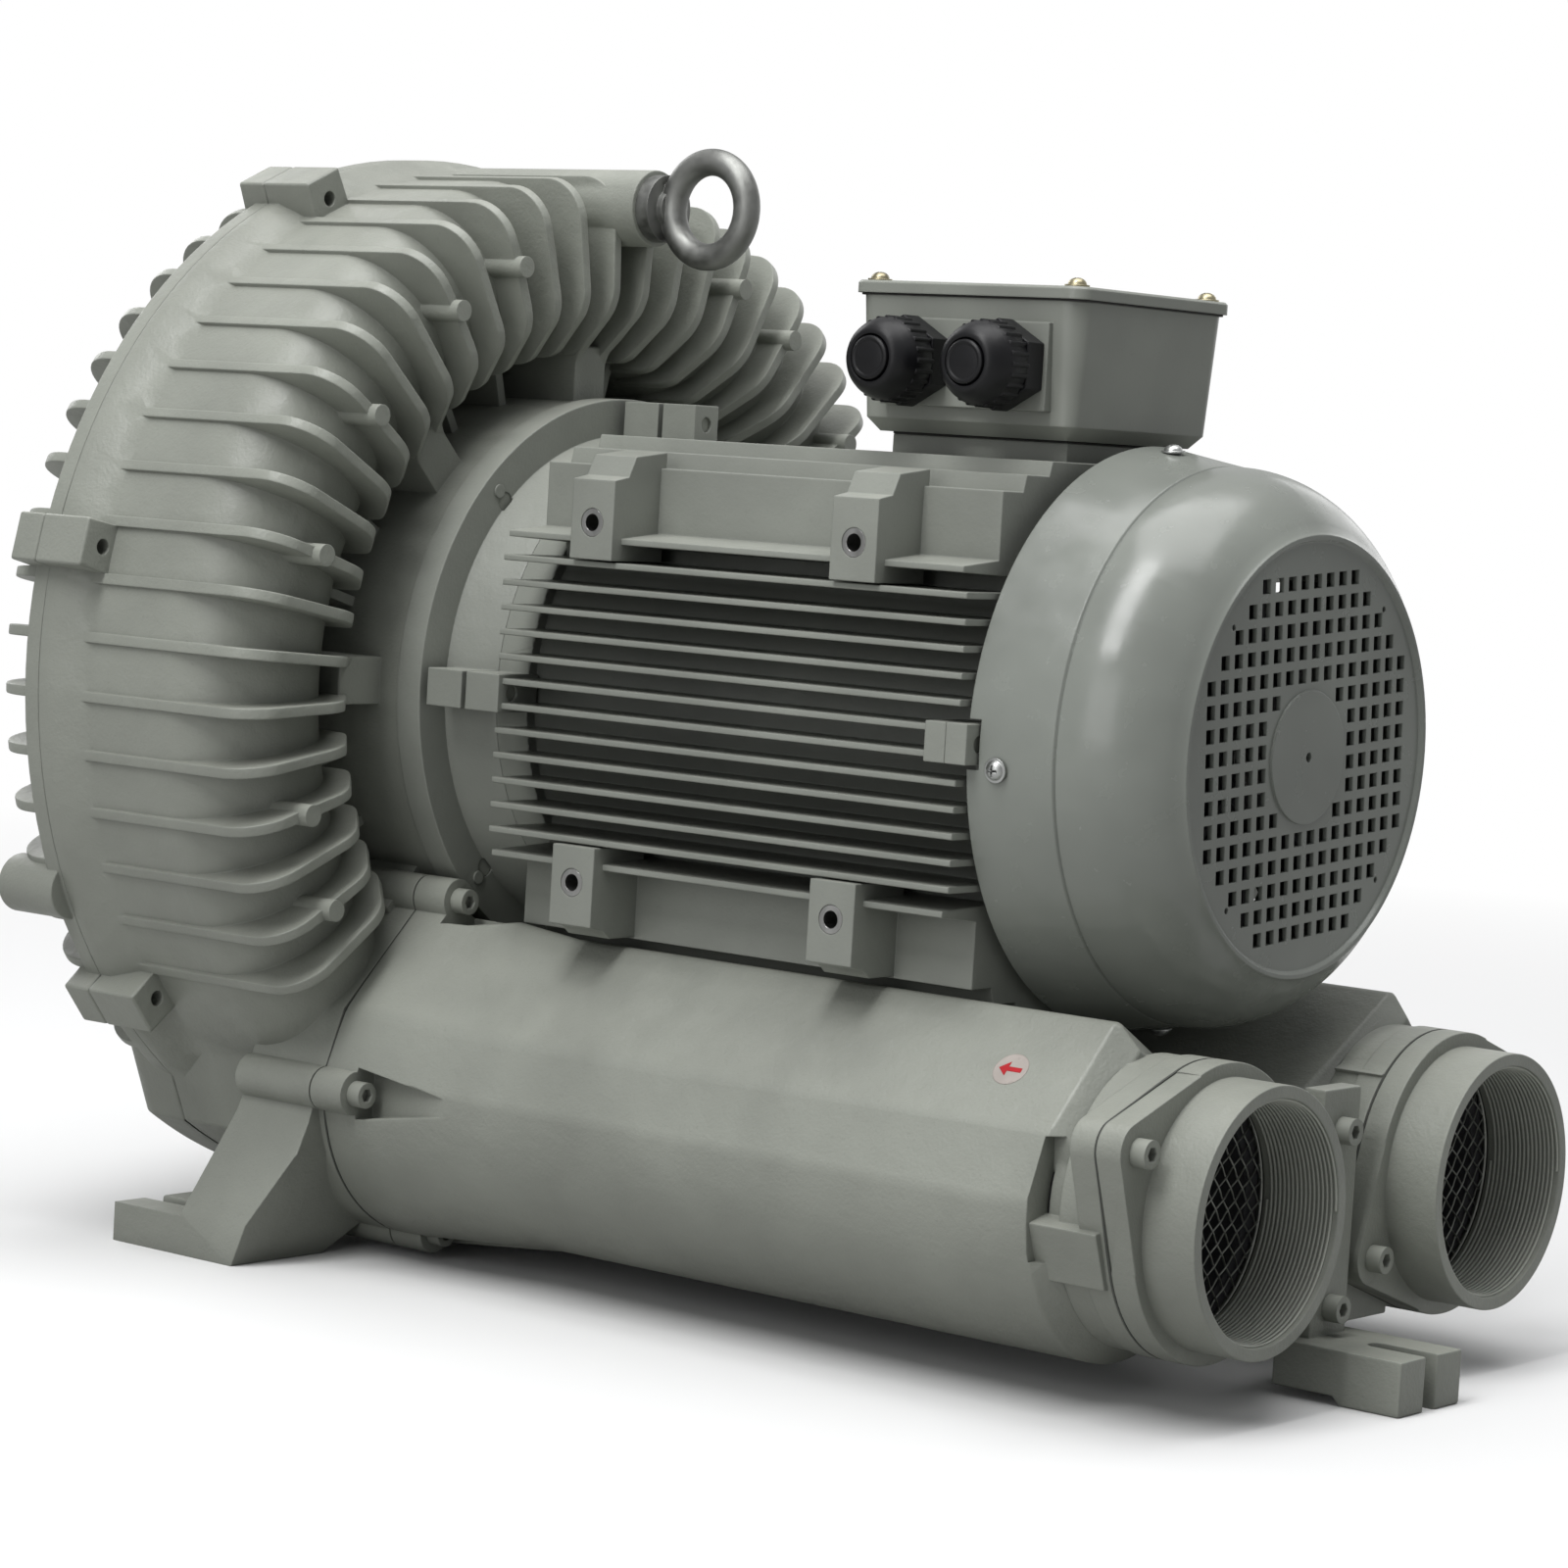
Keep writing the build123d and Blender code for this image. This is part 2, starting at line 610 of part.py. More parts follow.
def silencer_body():
    """Silencer casting before its bores are cut, and the list of cutters."""
    front = -gasket_thickness
    bevel_y = silencer_step_y + silencer_bevel
    slices = [(front, silencer_swell), (silencer_swell_start_y, silencer_swell),
              (silencer_swell_end_y, 1.0), (bevel_y, 1.0),
              (silencer_step_y, 1 - silencer_bevel / silencer_radius)]
    body = loft([silencer_slice(y, scale) for y, scale in slices], ruled=True)
    roof = outline([(-u, w) for u, w in neck_roof] + [(0, 0)])
    neck = along_y(Pos(-port_x, -port_drop) * (Circle(neck_radius) + roof),
                   silencer_step_y + 2, silencer_end_y)
    pad = along_y(port_plate(), silencer_end_y + port_flange_thickness, silencer_end_y)
    bracket = along_y(outline(bracket_corners), pocket_y + 6, silencer_end_y + 2)
    pocket = along_y(outline(pocket_corners), pocket_y, silencer_step_y - 1)
    parts = [neck, pad, bracket]
    cuts = [rod(silencer_bore_radius, front - silencer_end_wall, silencer_end_y - 1,
                -port_x, -port_drop),
            rod(duct_radius, 1, front - silencer_end_wall - 1, -port_x, -port_drop),
            rod(screen_radius + seat_clearance, silencer_end_y + screen_thickness,
                silencer_end_y - 1, -port_x, -port_drop)]
    seat = silencer_bolt_seat_y
    for u, w in silencer_bolt_spots:
        x, z = -port_x - u, -port_drop + w
        parts.append(rod(silencer_boss_radius, front, seat, x, z))
        cuts.append(rod(m8_radius, 1, seat - 1, x, z))
        cuts.append(screw_pocket(x, z, seat))
    for x, z in port_bolt_places():
        cuts.append(rod(m8_radius, silencer_end_y + port_bolt_length - port_flange_thickness,
                        silencer_end_y - 1, x, z))
    return body.cut(pocket).fuse(*parts), cuts


def silencer(side):
    """Silencer casting; one rear lug reaches the middle, the upper on the left, lower right."""
    form, cuts = silencer_body()
    z = rear_bolt_heights[0] if side < 0 else rear_bolt_heights[1]
    reach = block(-port_x + 30, rear_plate_width / 2 - 2, silencer_end_y,
                  silencer_end_y + rear_lug_depth, z - rear_lug_half_height,
                  z + rear_lug_half_height)
    hole = rod(m8_radius, silencer_end_y + rear_lug_depth + 1, silencer_end_y - 1, 0, z)
    body = form.fuse(reach).cut(hole, *cuts)
    return body if side < 0 else mirrored(body)


def silencer_gasket():
    section = silencer_section(silencer_swell)
    sheet = along_y(section, 0, -gasket_thickness)
    for u, w in silencer_bolt_spots:
        sheet = sheet.cut(rod(m8_radius, 1, -2, -port_x - u, -port_drop + w))
    return sheet.cut(rod(duct_radius, 1, -2, -port_x, -port_drop))


def silencer_liner():
    """Foam tube that lines the silencer bore."""
    gap = 0.3
    return tube(silencer_bore_radius - gap, liner_bore_radius,
                -gasket_thickness - silencer_end_wall - gap,
                silencer_end_y + screen_thickness + gap, -port_x, -port_drop)


def silencer_bolts():
    return [socket_screw(silencer_bolt_length, silencer_bolt_seat_y, side * (port_x + u),
                         -port_drop + w) for side in (-1, 1) for u, w in silencer_bolt_spots]


def port_flange():
    plate = along_y(port_plate(), port_flange_y, port_flange_y - port_flange_thickness)
    ring = rod(port_outer_radius, port_flange_y, port_face_y, -port_x, -port_drop)
    bore = rod(port_bore_radius, port_flange_y + 1, port_face_y - 1, -port_x, -port_drop)
    holes = [rod(m8_radius, port_flange_y + 1, port_face_y, x, z) for x, z in port_bolt_places()]
    return plate.fuse(ring).cut(bore, *holes)


def port_gasket():
    sheet = along_y(port_plate(), silencer_end_y, port_flange_y)
    holes = [rod(m8_radius, silencer_end_y + 1, port_flange_y - 1, x, z)
             for x, z in port_bolt_places()]
    return sheet.cut(rod(port_bore_radius + 2, silencer_end_y + 1, port_flange_y - 1,
                         -port_x, -port_drop), *holes)


def port_screen():
    """Wire screen: two crossed layers of straight wires held in a flat rim."""
    back = silencer_end_y + screen_thickness
    inner = screen_radius - screen_rim
    rim = tube(screen_radius, inner, back, silencer_end_y, -port_x, -port_drop)
    wires = []
    steps = int(inner / screen_pitch)
    for layer, tilt in enumerate((45, -45)):
        y_front = silencer_end_y + 0.3 + layer * screen_wire
        for i in range(-steps, steps + 1):
            offset = i * screen_pitch
            half = math.sqrt((inner + 2) ** 2 - offset ** 2)
            wire = Pos(-port_x, -port_drop) * Rot(0, 0, tilt) * Pos(0, offset) * Rectangle(
                2 * half, screen_wire)
            wires.append(along_y(wire, y_front + screen_wire, y_front))
    return rim.fuse(*wires)


def port_bolts():
    places = port_bolt_places()
    seat_y = port_flange_y - port_flange_thickness
    return [socket_screw(port_bolt_length - 2, seat_y, side * x, z)
            for side in (1, -1) for x, z in places]


# ---------------------------------------------------------------- rear foot
def rear_foot():
    """Central foot between the ports, with its slot open towards the operator."""
    top = floor_z + rear_foot_height
    half = rear_foot_width / 2
    plate_back = silencer_end_y
    side_view = outline([(plate_back, top), (plate_back, floor_z + rear_foot_relief),
                         (rear_foot_pad_y + rear_foot_relief, floor_z + rear_foot_relief),
                         (rear_foot_pad_y, floor_z), (rear_foot_tip_y, floor_z),
                         (rear_foot_tip_y, top)])
    foot = extrude(Plane.YZ * side_view, amount=half, both=True)
    plate = block(-rear_plate_width / 2, rear_plate_width / 2, plate_back - rear_plate_thickness,
                  plate_back, top - 1, rear_plate_top)
    slot_end = rear_foot_tip_y + rear_slot_depth - rear_slot_width / 2
    slot = block(-rear_slot_width / 2, rear_slot_width / 2, rear_foot_tip_y - 1, slot_end,
                 floor_z - 1, top + 1)
    slot += Pos(0, slot_end, (floor_z + top) / 2) * Cylinder(rear_slot_width / 2,
                                                            rear_foot_height + 2)
    holes = [rod(m8_radius, plate_back + 1, plate_back - rear_plate_thickness - 1, 0, z)
             for z in rear_bolt_heights]
    return foot.fuse(plate).cut(slot, *holes)


def rear_foot_bolts():
    seat_y = silencer_end_y - rear_plate_thickness
    return [socket_screw(rear_plate_thickness + rear_lug_depth - 3, seat_y, 0, z)
            for z in rear_bolt_heights]


# ---------------------------------------------------------------- motor casing
def motor_lugs(y_back, y_front, angles=(0, 90, 180, 270)):
    """Bolting lugs on the sides of the motor."""
    half = side_lug_width / 2
    lug = block(shield_joint_radius - 4, side_lug_reach, y_front, y_back, -half, half)
    hole = rod(m8_radius, y_back + 1, y_front - 1, side_lug_bolt_circle)
    return [around(lug - hole, a) for a in angles]


def drive_end_flange():
    """Flanged end shield: spigot, square-edged flange, short cone and bearing housing."""
    seat = bearing_outer_radius + seat_clearance
    bearing_front = drive_bearing_y - bearing_width / 2
    bearing_back = drive_bearing_y + bearing_width / 2
    spigot = hub_bore_radius - seat_clearance
    inner_y = -flange_thickness + 2
    form = turned([(bearing_lip_radius, inner_y + 8), (spigot - 15, inner_y + 8),
                   (spigot - 15, spigot_height), (spigot, spigot_height), (spigot, 0),
                   (flange_radius, 0), (flange_radius, -flange_thickness),
                   (shield_radius, -flange_thickness), (shield_joint_radius, shield_joint_y),
                   (shield_joint_radius - shield_wall, shield_joint_y),
                   (shield_radius - shield_wall - 3, inner_y), (seat + shield_wall, inner_y),
                   (seat + shield_wall, bearing_front), (seat, bearing_front),
                   (seat, bearing_back), (bearing_lip_radius, bearing_back)])
    holes = [around(rod(flange_bolt_radius, 1, -flange_thickness - 1, flange_bolt_circle), a)
             for a in flange_bolt_angles]
    lugs = motor_lugs(-flange_thickness - 4, shield_joint_y + side_lug_gap / 2)
    return form.cut(*holes).fuse(*lugs)


def flange_bolts():
    """Four bolts put in from the housing side, their tips level with the flange front."""
    bolt = rod(flange_bolt_head_radius, flange_bolt_seat_y + flange_bolt_head_height,
               flange_bolt_seat_y, flange_bolt_circle)
    bolt += rod(flange_bolt_radius - seat_clearance, flange_bolt_seat_y, -flange_thickness + 0.5,
                flange_bolt_circle)
    return [around(bolt, a) for a in flange_bolt_angles]


def frame_outline():
    """Stepped section of the motor frame, the same at top and bottom."""
    (w1, h1), (w2, h2), (w3, h3) = frame_steps
    tip, low = frame_ledge
    core = frame_core_radius - 18
    corner = [(w1, h1), (w1 + 2, h2), (w2, h2), (w2 + 2, h3), (w3, h3), (w3, low + 4),
              (tip, low + 1), (tip, low - 2), (core, low - 4)]
    right = corner + [(x, -z) for x, z in reversed(corner)]
    return outline(right + [(-x, z) for x, z in reversed(right)])


def motor_frame():
    """Aluminium frame: bored body, level side fins, foot bosses, plinth and bolting lugs."""
    front, back = frame_fin_front_y, frame_back_y
    body = along_y(frame_outline(), front, back)
    ring = rod(shield_joint_radius, shield_joint_y, front - 1)
    half = frame_fin_thickness / 2
    fins = []
    for k in range(frame_fin_count):
        z = (k - (frame_fin_count - 1) / 2) * frame_fin_pitch
        fins += [block(s * 98 if s > 0 else -frame_fin_tip, frame_fin_tip if s > 0 else -98,
                       frame_fin_back_y, front, z - half, z + half) for s in (-1, 1)]
    bosses = []
    inserts = []
    for y in foot_insert_ys:
        for s in (-1, 1):
            for t in (-1, 1):
                reach = foot_boss_low if t < 0 else axis_height
                section = outline([(s * x, t * min(z, reach)) for x, z in foot_boss_section])
                bosses.append(along_y(section, y + foot_boss_width / 2,
                                      y - foot_boss_width / 2))
                inserts.append(cross_rod(insert_radius, s * (foot_boss_face - insert_depth),
                                         s * (foot_boss_face + 1), y, t * foot_insert_height))
    plinth = block(-plinth_width / 2, plinth_width / 2, box_middle_y - plinth_length / 2,
                   box_middle_y + plinth_length / 2, frame_core_radius,
                   box_low_z - gasket_thickness)
    passage = Pos(0, box_middle_y + board_size[1], axis_height / 2) * Cylinder(
        wire_hole_radius, axis_height - 160)
    form = body.fuse(rod(frame_core_radius, back, front), ring, plinth, *fins, *bosses)
    bore = rod(frame_bore_radius, shield_joint_y + 1, back - 1)
    shield_space = rod(rear_shield_radius + 1, back, frame_fin_back_y - 1)
    lug_space = block(rear_shield_radius - 8, side_lug_reach, frame_fin_back_y - 1, back,
                      -side_lug_width / 2 - 1, side_lug_width / 2 + 1)
    form = form.cut(bore, passage, shield_space, *[around(lug_space, a) for a in rear_lug_angles],
                    *inserts)
    lug_back = shield_joint_y - side_lug_gap / 2
    lugs = motor_lugs(lug_back, lug_back - side_lug_length)
    rear_lugs = motor_lugs(back + rear_lug_length, back, rear_lug_angles)
    return form.fuse(*lugs, *rear_lugs)


def foot_inserts():
    """Threaded steel inserts in the eight foot bosses."""
    shapes = []
    for y in foot_insert_ys:
        for s in (-1, 1):
            for z in (-foot_insert_height, foot_insert_height):
                inner = s * (foot_boss_face - insert_depth)
                bar = cross_rod(insert_radius - seat_clearance, inner, s * foot_boss_face, y, z)
                shapes.append(bar - cross_rod(insert_bore_radius, inner - s,
                                              s * (foot_boss_face + 1), y, z))
    return shapes


def shield_studs():
    """Studs through the side lugs: four at the drive end and two at the rear."""
    radius = m8_radius - seat_clearance
    front_end = shield_joint_y - side_lug_gap / 2 - side_lug_length + stud_inset
    stud = rod(radius, -flange_thickness - 4 - stud_inset, front_end, side_lug_bolt_circle)
    rear = rod(radius, frame_back_y + rear_lug_length - stud_inset,
               frame_back_y - rear_lug_length + stud_inset, side_lug_bolt_circle)
    return ([around(stud, a) for a in (0, 90, 180, 270)]
            + [around(rear, a) for a in rear_lug_angles])


def rear_end_shield():
    """Rear end shield with its bearing housing and four ears that carry the fan cowl."""
    seat = bearing_outer_radius + seat_clearance
    bearing_front = rear_bearing_y - bearing_width / 2 - spring_height
    housing_back = rear_bearing_y + bearing_width / 2
    outer_y = frame_back_y - rear_shield_thickness
    form = turned([(bearing_lip_radius, outer_y), (rear_shield_radius, outer_y),
                   (rear_shield_radius, frame_back_y), (frame_bore_radius - seat_clearance,
                                                        frame_back_y),
                   (frame_bore_radius - seat_clearance, frame_back_y + spigot_height),
                   (seat + shield_wall, frame_back_y + spigot_height),
                   (seat + shield_wall, housing_back), (seat, housing_back),
                   (seat, bearing_front), (bearing_lip_radius, bearing_front)])
    ear = block(rear_shield_radius - 14, cowl_ear_radius, cowl_ear_tip_y, frame_back_y - 6,
                -cowl_ear_width / 2, cowl_ear_width / 2)
    ear -= cross_rod(cowl_screw_radius, rear_shield_radius - 4, cowl_radius, cowl_screw_y, 0)
    ears = [around(ear, a + cowl_turn) for a in (0, 90, 180, 270)]
    lugs = motor_lugs(frame_back_y, frame_back_y - rear_lug_length, rear_lug_angles)
    bridge = block(rear_shield_radius - 8, shield_joint_radius + 2, outer_y, frame_back_y,
                   -side_lug_width / 2, side_lug_width / 2)
    return form.fuse(*ears, *lugs, *[around(bridge, a) for a in rear_lug_angles])


# ---------------------------------------------------------------- rotor and bearings
def motor_shaft():
    """Stepped shaft: drive end, bearing seats, rotor seat, fan seat with a ring groove."""
    front_seat = drive_bearing_y + bearing_width / 2
    front_end = drive_bearing_y - bearing_width / 2
    rear_end = rear_bearing_y + bearing_width / 2
    fan_seat_y = rear_bearing_y - bearing_width / 2 - spring_height - 2
    fan_back = fan_front_y - fan_depth
    groove = fan_seat_radius - circlip_groove_depth
    form = turned([(0, shaft_drive_end_y), (shaft_end_radius, shaft_drive_end_y),
                   (shaft_end_radius, front_seat), (bearing_seat_radius, front_seat),
                   (bearing_seat_radius, front_end), (shaft_radius, front_end),
                   (shaft_radius, rear_end), (bearing_seat_radius, rear_end),
                   (bearing_seat_radius, fan_seat_y), (fan_seat_radius, fan_seat_y),
                   (fan_seat_radius, fan_back), (groove, fan_back),
                   (groove, fan_back - circlip_thickness - 2 * seat_clearance),
                   (fan_seat_radius, fan_back - circlip_thickness - 2 * seat_clearance),
                   (fan_seat_radius, shaft_rear_y), (0, shaft_rear_y)])
    tapped = rod(end_screw_radius, shaft_drive_end_y + 1, shaft_drive_end_y - end_screw_length)
    half = key_width / 2 + seat_clearance
    keyway = block(-half, half, impeller_hub_y - 1, shaft_drive_end_y + 1,
                   shaft_end_radius - key_height / 2 - seat_clearance, shaft_end_radius + 1)
    return form.cut(tapped, keyway)


def impeller_key():
    half = key_width / 2
    return block(-half, half, impeller_hub_y, shaft_drive_end_y,
                 shaft_end_radius - key_height / 2, shaft_end_radius + key_height / 2)


def impeller():
    """Wheel with a keyed hub, a flat disc and a rim of straight radial vanes."""
    rim_inner = impeller_ring_radius
    rim_outer = rim_inner + impeller_ring_wall
    bore = shaft_end_radius + seat_clearance
    web_y0 = impeller_hub_y + 2
    wheel = turned([(bore, impeller_hub_y), (impeller_hub_radius, impeller_hub_y),
                    (impeller_hub_radius, web_y0), (rim_inner, web_y0),
                    (rim_inner, impeller_front_y), (rim_outer, impeller_front_y),
                    (rim_outer, impeller_back_y), (rim_inner, impeller_back_y),
                    (rim_inner, web_y0 + impeller_disc_thickness),
                    (impeller_hub_radius, web_y0 + impeller_disc_thickness),
                    (impeller_hub_radius, impeller_back_y), (bore, impeller_back_y)])
    middle = (impeller_front_y + impeller_back_y) / 2
    divider = turned([(rim_outer - 1, middle - 2), (impeller_radius - 8, middle - 2),
                      (impeller_radius - 8, middle + 2), (rim_outer - 1, middle + 2)])
    vane = block(rim_outer - 2, impeller_radius, impeller_front_y, impeller_back_y,
                 -impeller_vane_thickness / 2, impeller_vane_thickness / 2)
    vanes = [around(vane, i * 360 / impeller_vanes) for i in range(impeller_vanes)]
    half = key_width / 2 + seat_clearance
    keyway = block(-half, half, impeller_hub_y - 1, impeller_back_y + 1, 0,
                   shaft_end_radius + key_height / 2 + seat_clearance)
    return wheel.fuse(divider, *vanes).cut(keyway)


def impeller_washer():
    return tube(end_washer_radius, end_screw_radius, impeller_back_y + end_washer_thickness,
                impeller_back_y)


def impeller_screw():
    seat_y = impeller_back_y + end_washer_thickness
    radius, height = end_screw_head
    head = along_y(RegularPolygon(radius, 6, major_radius=False), seat_y + height, seat_y)
    return head + rod(end_screw_radius - seat_clearance, seat_y,
                      shaft_drive_end_y - end_screw_length + 3)


def shaft_seal():
    """Plain ring in the bore of the housing; the shaft turns in it without touching."""
    return tube(shaft_end_radius + seal_width - seat_clearance, shaft_end_radius + seal_gap,
                web_y + web_thickness, web_y)


def bearing_outer(middle_y):
    """Outer race with a plain track that the rollers clear."""
    half = bearing_width / 2
    track = bearing_pitch_radius + bearing_roller_radius + roller_gap
    return tube(bearing_outer_radius, track, middle_y + half, middle_y - half)


def bearing_inner(middle_y):
    """Inner race on its shaft seat."""
    half = bearing_width / 2
    track = bearing_pitch_radius - bearing_roller_radius - roller_gap
    return tube(track, bearing_seat_radius + seat_clearance, middle_y + half, middle_y - half)


def bearing_rollers(middle_y):
    """Rollers of one bearing joined by their cage ring."""
    half = bearing_roller_length / 2
    cage = tube(bearing_pitch_radius + 1.5, bearing_pitch_radius - 1.5, middle_y + half + 2,
                middle_y - half - 2)
    roller = rod(bearing_roller_radius, middle_y + half, middle_y - half, bearing_pitch_radius)
    step = 360 / bearing_roller_count
    return cage.fuse(*[around(roller, i * step) for i in range(bearing_roller_count)])


def preload_spring():
    front = rear_bearing_y - bearing_width / 2
    return tube(bearing_outer_radius - 1, bearing_outer_radius - spring_width, front,
                front - spring_height)


def rotor_core():
    return tube(rotor_radius, shaft_radius + seat_clearance, core_back_y, core_front_y)


def rotor_cage():
    """Short-circuit rings at both ends of the rotor."""
    return [tube(rotor_radius, cage_ring_inner_radius, core_back_y + cage_ring_depth,
                 core_back_y),
            tube(rotor_radius, cage_ring_inner_radius, core_front_y,
                 core_front_y - cage_ring_depth)]


def stator_core():
    return tube(frame_bore_radius - seat_clearance, rotor_radius + air_gap, core_back_y,
                core_front_y)


def stator_windings():
    """End windings on both faces of the stator core."""
    front = core_front_y - winding_overhang
    back = core_back_y + winding_overhang
    slope = 6
    return [turned([(winding_inner_radius, core_front_y), (winding_outer_radius, core_front_y),
                    (winding_outer_radius - slope, front), (winding_inner_radius + slope, front)]),
            turned([(winding_inner_radius, core_back_y), (winding_outer_radius, core_back_y),
                    (winding_outer_radius - slope, back), (winding_inner_radius + slope, back)])]


def cooling_fan():
    """Plastic fan with straight radial blades."""
    back = fan_front_y - fan_depth
    hub = tube(fan_hub_radius, fan_seat_radius + seat_clearance, fan_front_y, back)
    disc = tube(fan_disc_radius, fan_hub_radius - 1, back + fan_depth / 2 + 4,
                back + fan_depth / 2)
    half = fan_blade_thickness / 2
    blade = block(fan_hub_radius - 1, fan_radius, back, fan_front_y - 2, -half, half)
    return hub.fuse(disc, *[around(blade, i * 360 / fan_blades) for i in range(fan_blades)])


def fan_circlip():
    back = fan_front_y - fan_depth - seat_clearance
    groove = fan_seat_radius - circlip_groove_depth + seat_clearance
    ring = tube(fan_seat_radius + 3.5, groove, back, back - circlip_thickness)
    gap = block(-4, 4, back - circlip_thickness - 1, back + 1, 0, fan_seat_radius + 10)
    return ring - gap


# ---------------------------------------------------------------- fan cowl
def cowl_form(inset, rear_y):
    """Solid inside the cowl's outline drawn inwards by inset, with a round shoulder."""
    rim = (cowl_radius - inset, rear_y)
    waist = (cowl_groove_radius + cowl_groove_depth - inset, cowl_groove_y)
    middle = (cowl_shoulder[0] - inset * 0.8, cowl_shoulder[1] + inset * 0.6)
    face = (cowl_ridge_radius - inset * 0.3, cowl_face_y + inset)
    sides = Polyline(face, (0, face[1]), (0, rear_y), rim, waist)
    return revolve(make_face(sides + ThreePointArc(waist, middle, face)), Axis.Y, 360)


def grille_holes():
    """Square holes on a square grid, rows of even counts about the middle."""
    holes = []
    for row, (inner, outer) in enumerate(grille_rows):
        v = (row + 0.5) * grille_pitch
        columns = [(i + 0.5) * grille_pitch for i in range(inner // 2, outer // 2)]
        holes += [Pos(s * u, t * v) * Rectangle(grille_hole, grille_hole)
                  for u in columns for s in (-1, 1) for t in (-1, 1)]
    return holes


def fan_cowl():
    """Pressed cowl: tapered skirt, rolled groove, domed shoulder, ridge and square grille."""
    groove = turned([(cowl_groove_radius + 3, cowl_groove_y + 2.2),
                     (cowl_groove_radius, cowl_groove_y),
                     (cowl_groove_radius + 3, cowl_groove_y - 2.2)])
    ridge = turned([(cowl_face_radius, cowl_face_y), (cowl_face_radius + 1.5, cowl_face_y
                                                      - cowl_ridge_height),
                    (cowl_ridge_radius - 1.5, cowl_face_y - cowl_ridge_height),
                    (cowl_ridge_radius, cowl_face_y), (cowl_ridge_radius, cowl_face_y + 1),
                    (cowl_face_radius, cowl_face_y + 1)])
    boss = rod(grille_boss_radius, cowl_face_y + 0.5, cowl_face_y - grille_boss_height)
    space = cowl_form(cowl_wall, cowl_rear_y).fuse(
        rod(cowl_radius - cowl_wall, cowl_rear_y + 1, cowl_rear_y - 0.01))
    shell = cowl_form(0, cowl_rear_y).fuse(ridge, boss).cut(space, groove)
    pins = [Pos(s * u, t * v) * Circle(grille_pin_radius) for s in (-1, 1) for t in (-1, 1)
            for u, v in [(grille_pin_circle * math.sin(math.radians(45)),) * 2]]
    centre = Circle(grille_pin_radius * 1.6)
    front = cowl_face_y - cowl_ridge_height - 1
    grille = along_y(Sketch(children=grille_holes() + pins + [centre]),
                     cowl_face_y + cowl_wall + 1, front)
    screw_holes = [around(cross_rod(cowl_screw_radius, cowl_ear_radius, cowl_radius + 2,
                                    cowl_screw_y, 0), a) for a in (0, 90, 180, 270)]
    shell = around(shell.cut(grille, *screw_holes), cowl_turn)
    half = side_lug_width / 2 + 2
    notch = block(shield_joint_radius, cowl_radius + 2, frame_back_y - rear_lug_length - 1,
                  cowl_rear_y + 1, -half, half)
    return shell.cut(*[around(notch, a) for a in rear_lug_angles])


def cowl_screws():
    """Pan-head screws that hold the cowl to its ears."""
    radius, height = cowl_screw_head
    slope = ((cowl_radius - cowl_groove_radius - cowl_groove_depth)
             / (cowl_rear_y - cowl_groove_y))
    head_back_y = cowl_screw_y + radius
    seat = cowl_radius - slope * (cowl_rear_y - head_back_y) + seat_clearance
    screw = cross_rod(radius, seat, seat + height, cowl_screw_y, 0)
    screw += cross_rod(cowl_screw_radius - seat_clearance, cowl_ear_radius - 12, seat,
                       cowl_screw_y, 0)
    return [around(screw, a + cowl_turn) for a in (0, 90, 180, 270)]


# ---------------------------------------------------------------- terminal box
def drafted(width, length, low, high):
    """Upright block with round corners that grows towards the top."""
    face = Plane(origin=(0, box_middle_y, low)) * RectangleRounded(width, length, box_corner)
    return extrude(face, amount=high - low, taper=-box_draft)


def lid_screw_places():
    """Centres of the four lid screws."""
    u = box_width / 2 - lid_screw_inset
    v = box_length / 2 - lid_screw_inset
    return [(s * u, box_middle_y + t * v) for s in (-1, 1) for t in (-1, 1)]


def terminal_box():
    """Drafted box with a bevelled floor, corner posts and a flat pad for the glands."""
    grow = 2 * (box_top_z - box_low_z) * math.tan(math.radians(box_draft))
    width, length = box_width - grow, box_length - grow
    form = drafted(width, length, box_low_z, box_top_z)
    form = chamfer(form.faces().sort_by(Axis.Z)[0].edges(), box_chamfer)
    space = drafted(width - 2 * box_wall, length - 2 * box_wall, box_floor_z, box_top_z + 1)
    y0, y1 = gland_ys[1] - pad_margin, gland_ys[0] + pad_margin
    pad = block(pad_face_x, -width / 2 + 3, y0, y1, gland_height - pad_margin,
                gland_height + pad_margin)
    posts = [Pos(x, y, (box_low_z + box_top_z) / 2 + 12) * Cylinder(
        7, box_top_z - box_low_z - 24) for x, y in lid_screw_places()]
    outer = drafted(width, length, box_low_z, box_top_z)
    posts = [post & outer for post in posts]
    holes = [Pos(x, y, box_top_z - 8) * Cylinder(lid_screw_radius, 18)
             for x, y in lid_screw_places()]
    holes += [cross_rod(gland_thread_radius, pad_face_x - 1, -width / 2 + box_wall + 4, y,
                        gland_height) for y in gland_ys]
    passage = Pos(0, box_middle_y + board_size[1], box_low_z) * Cylinder(wire_hole_radius, 20)
    return form.cut(space).fuse(pad, *posts).cut(passage, *holes)


def box_gasket():
    sheet = block(-plinth_width / 2, plinth_width / 2, box_middle_y - plinth_length / 2,
                  box_middle_y + plinth_length / 2, box_low_z - gasket_thickness, box_low_z)
    return sheet - Pos(0, box_middle_y + board_size[1], box_low_z) * Cylinder(
        wire_hole_radius, 20)


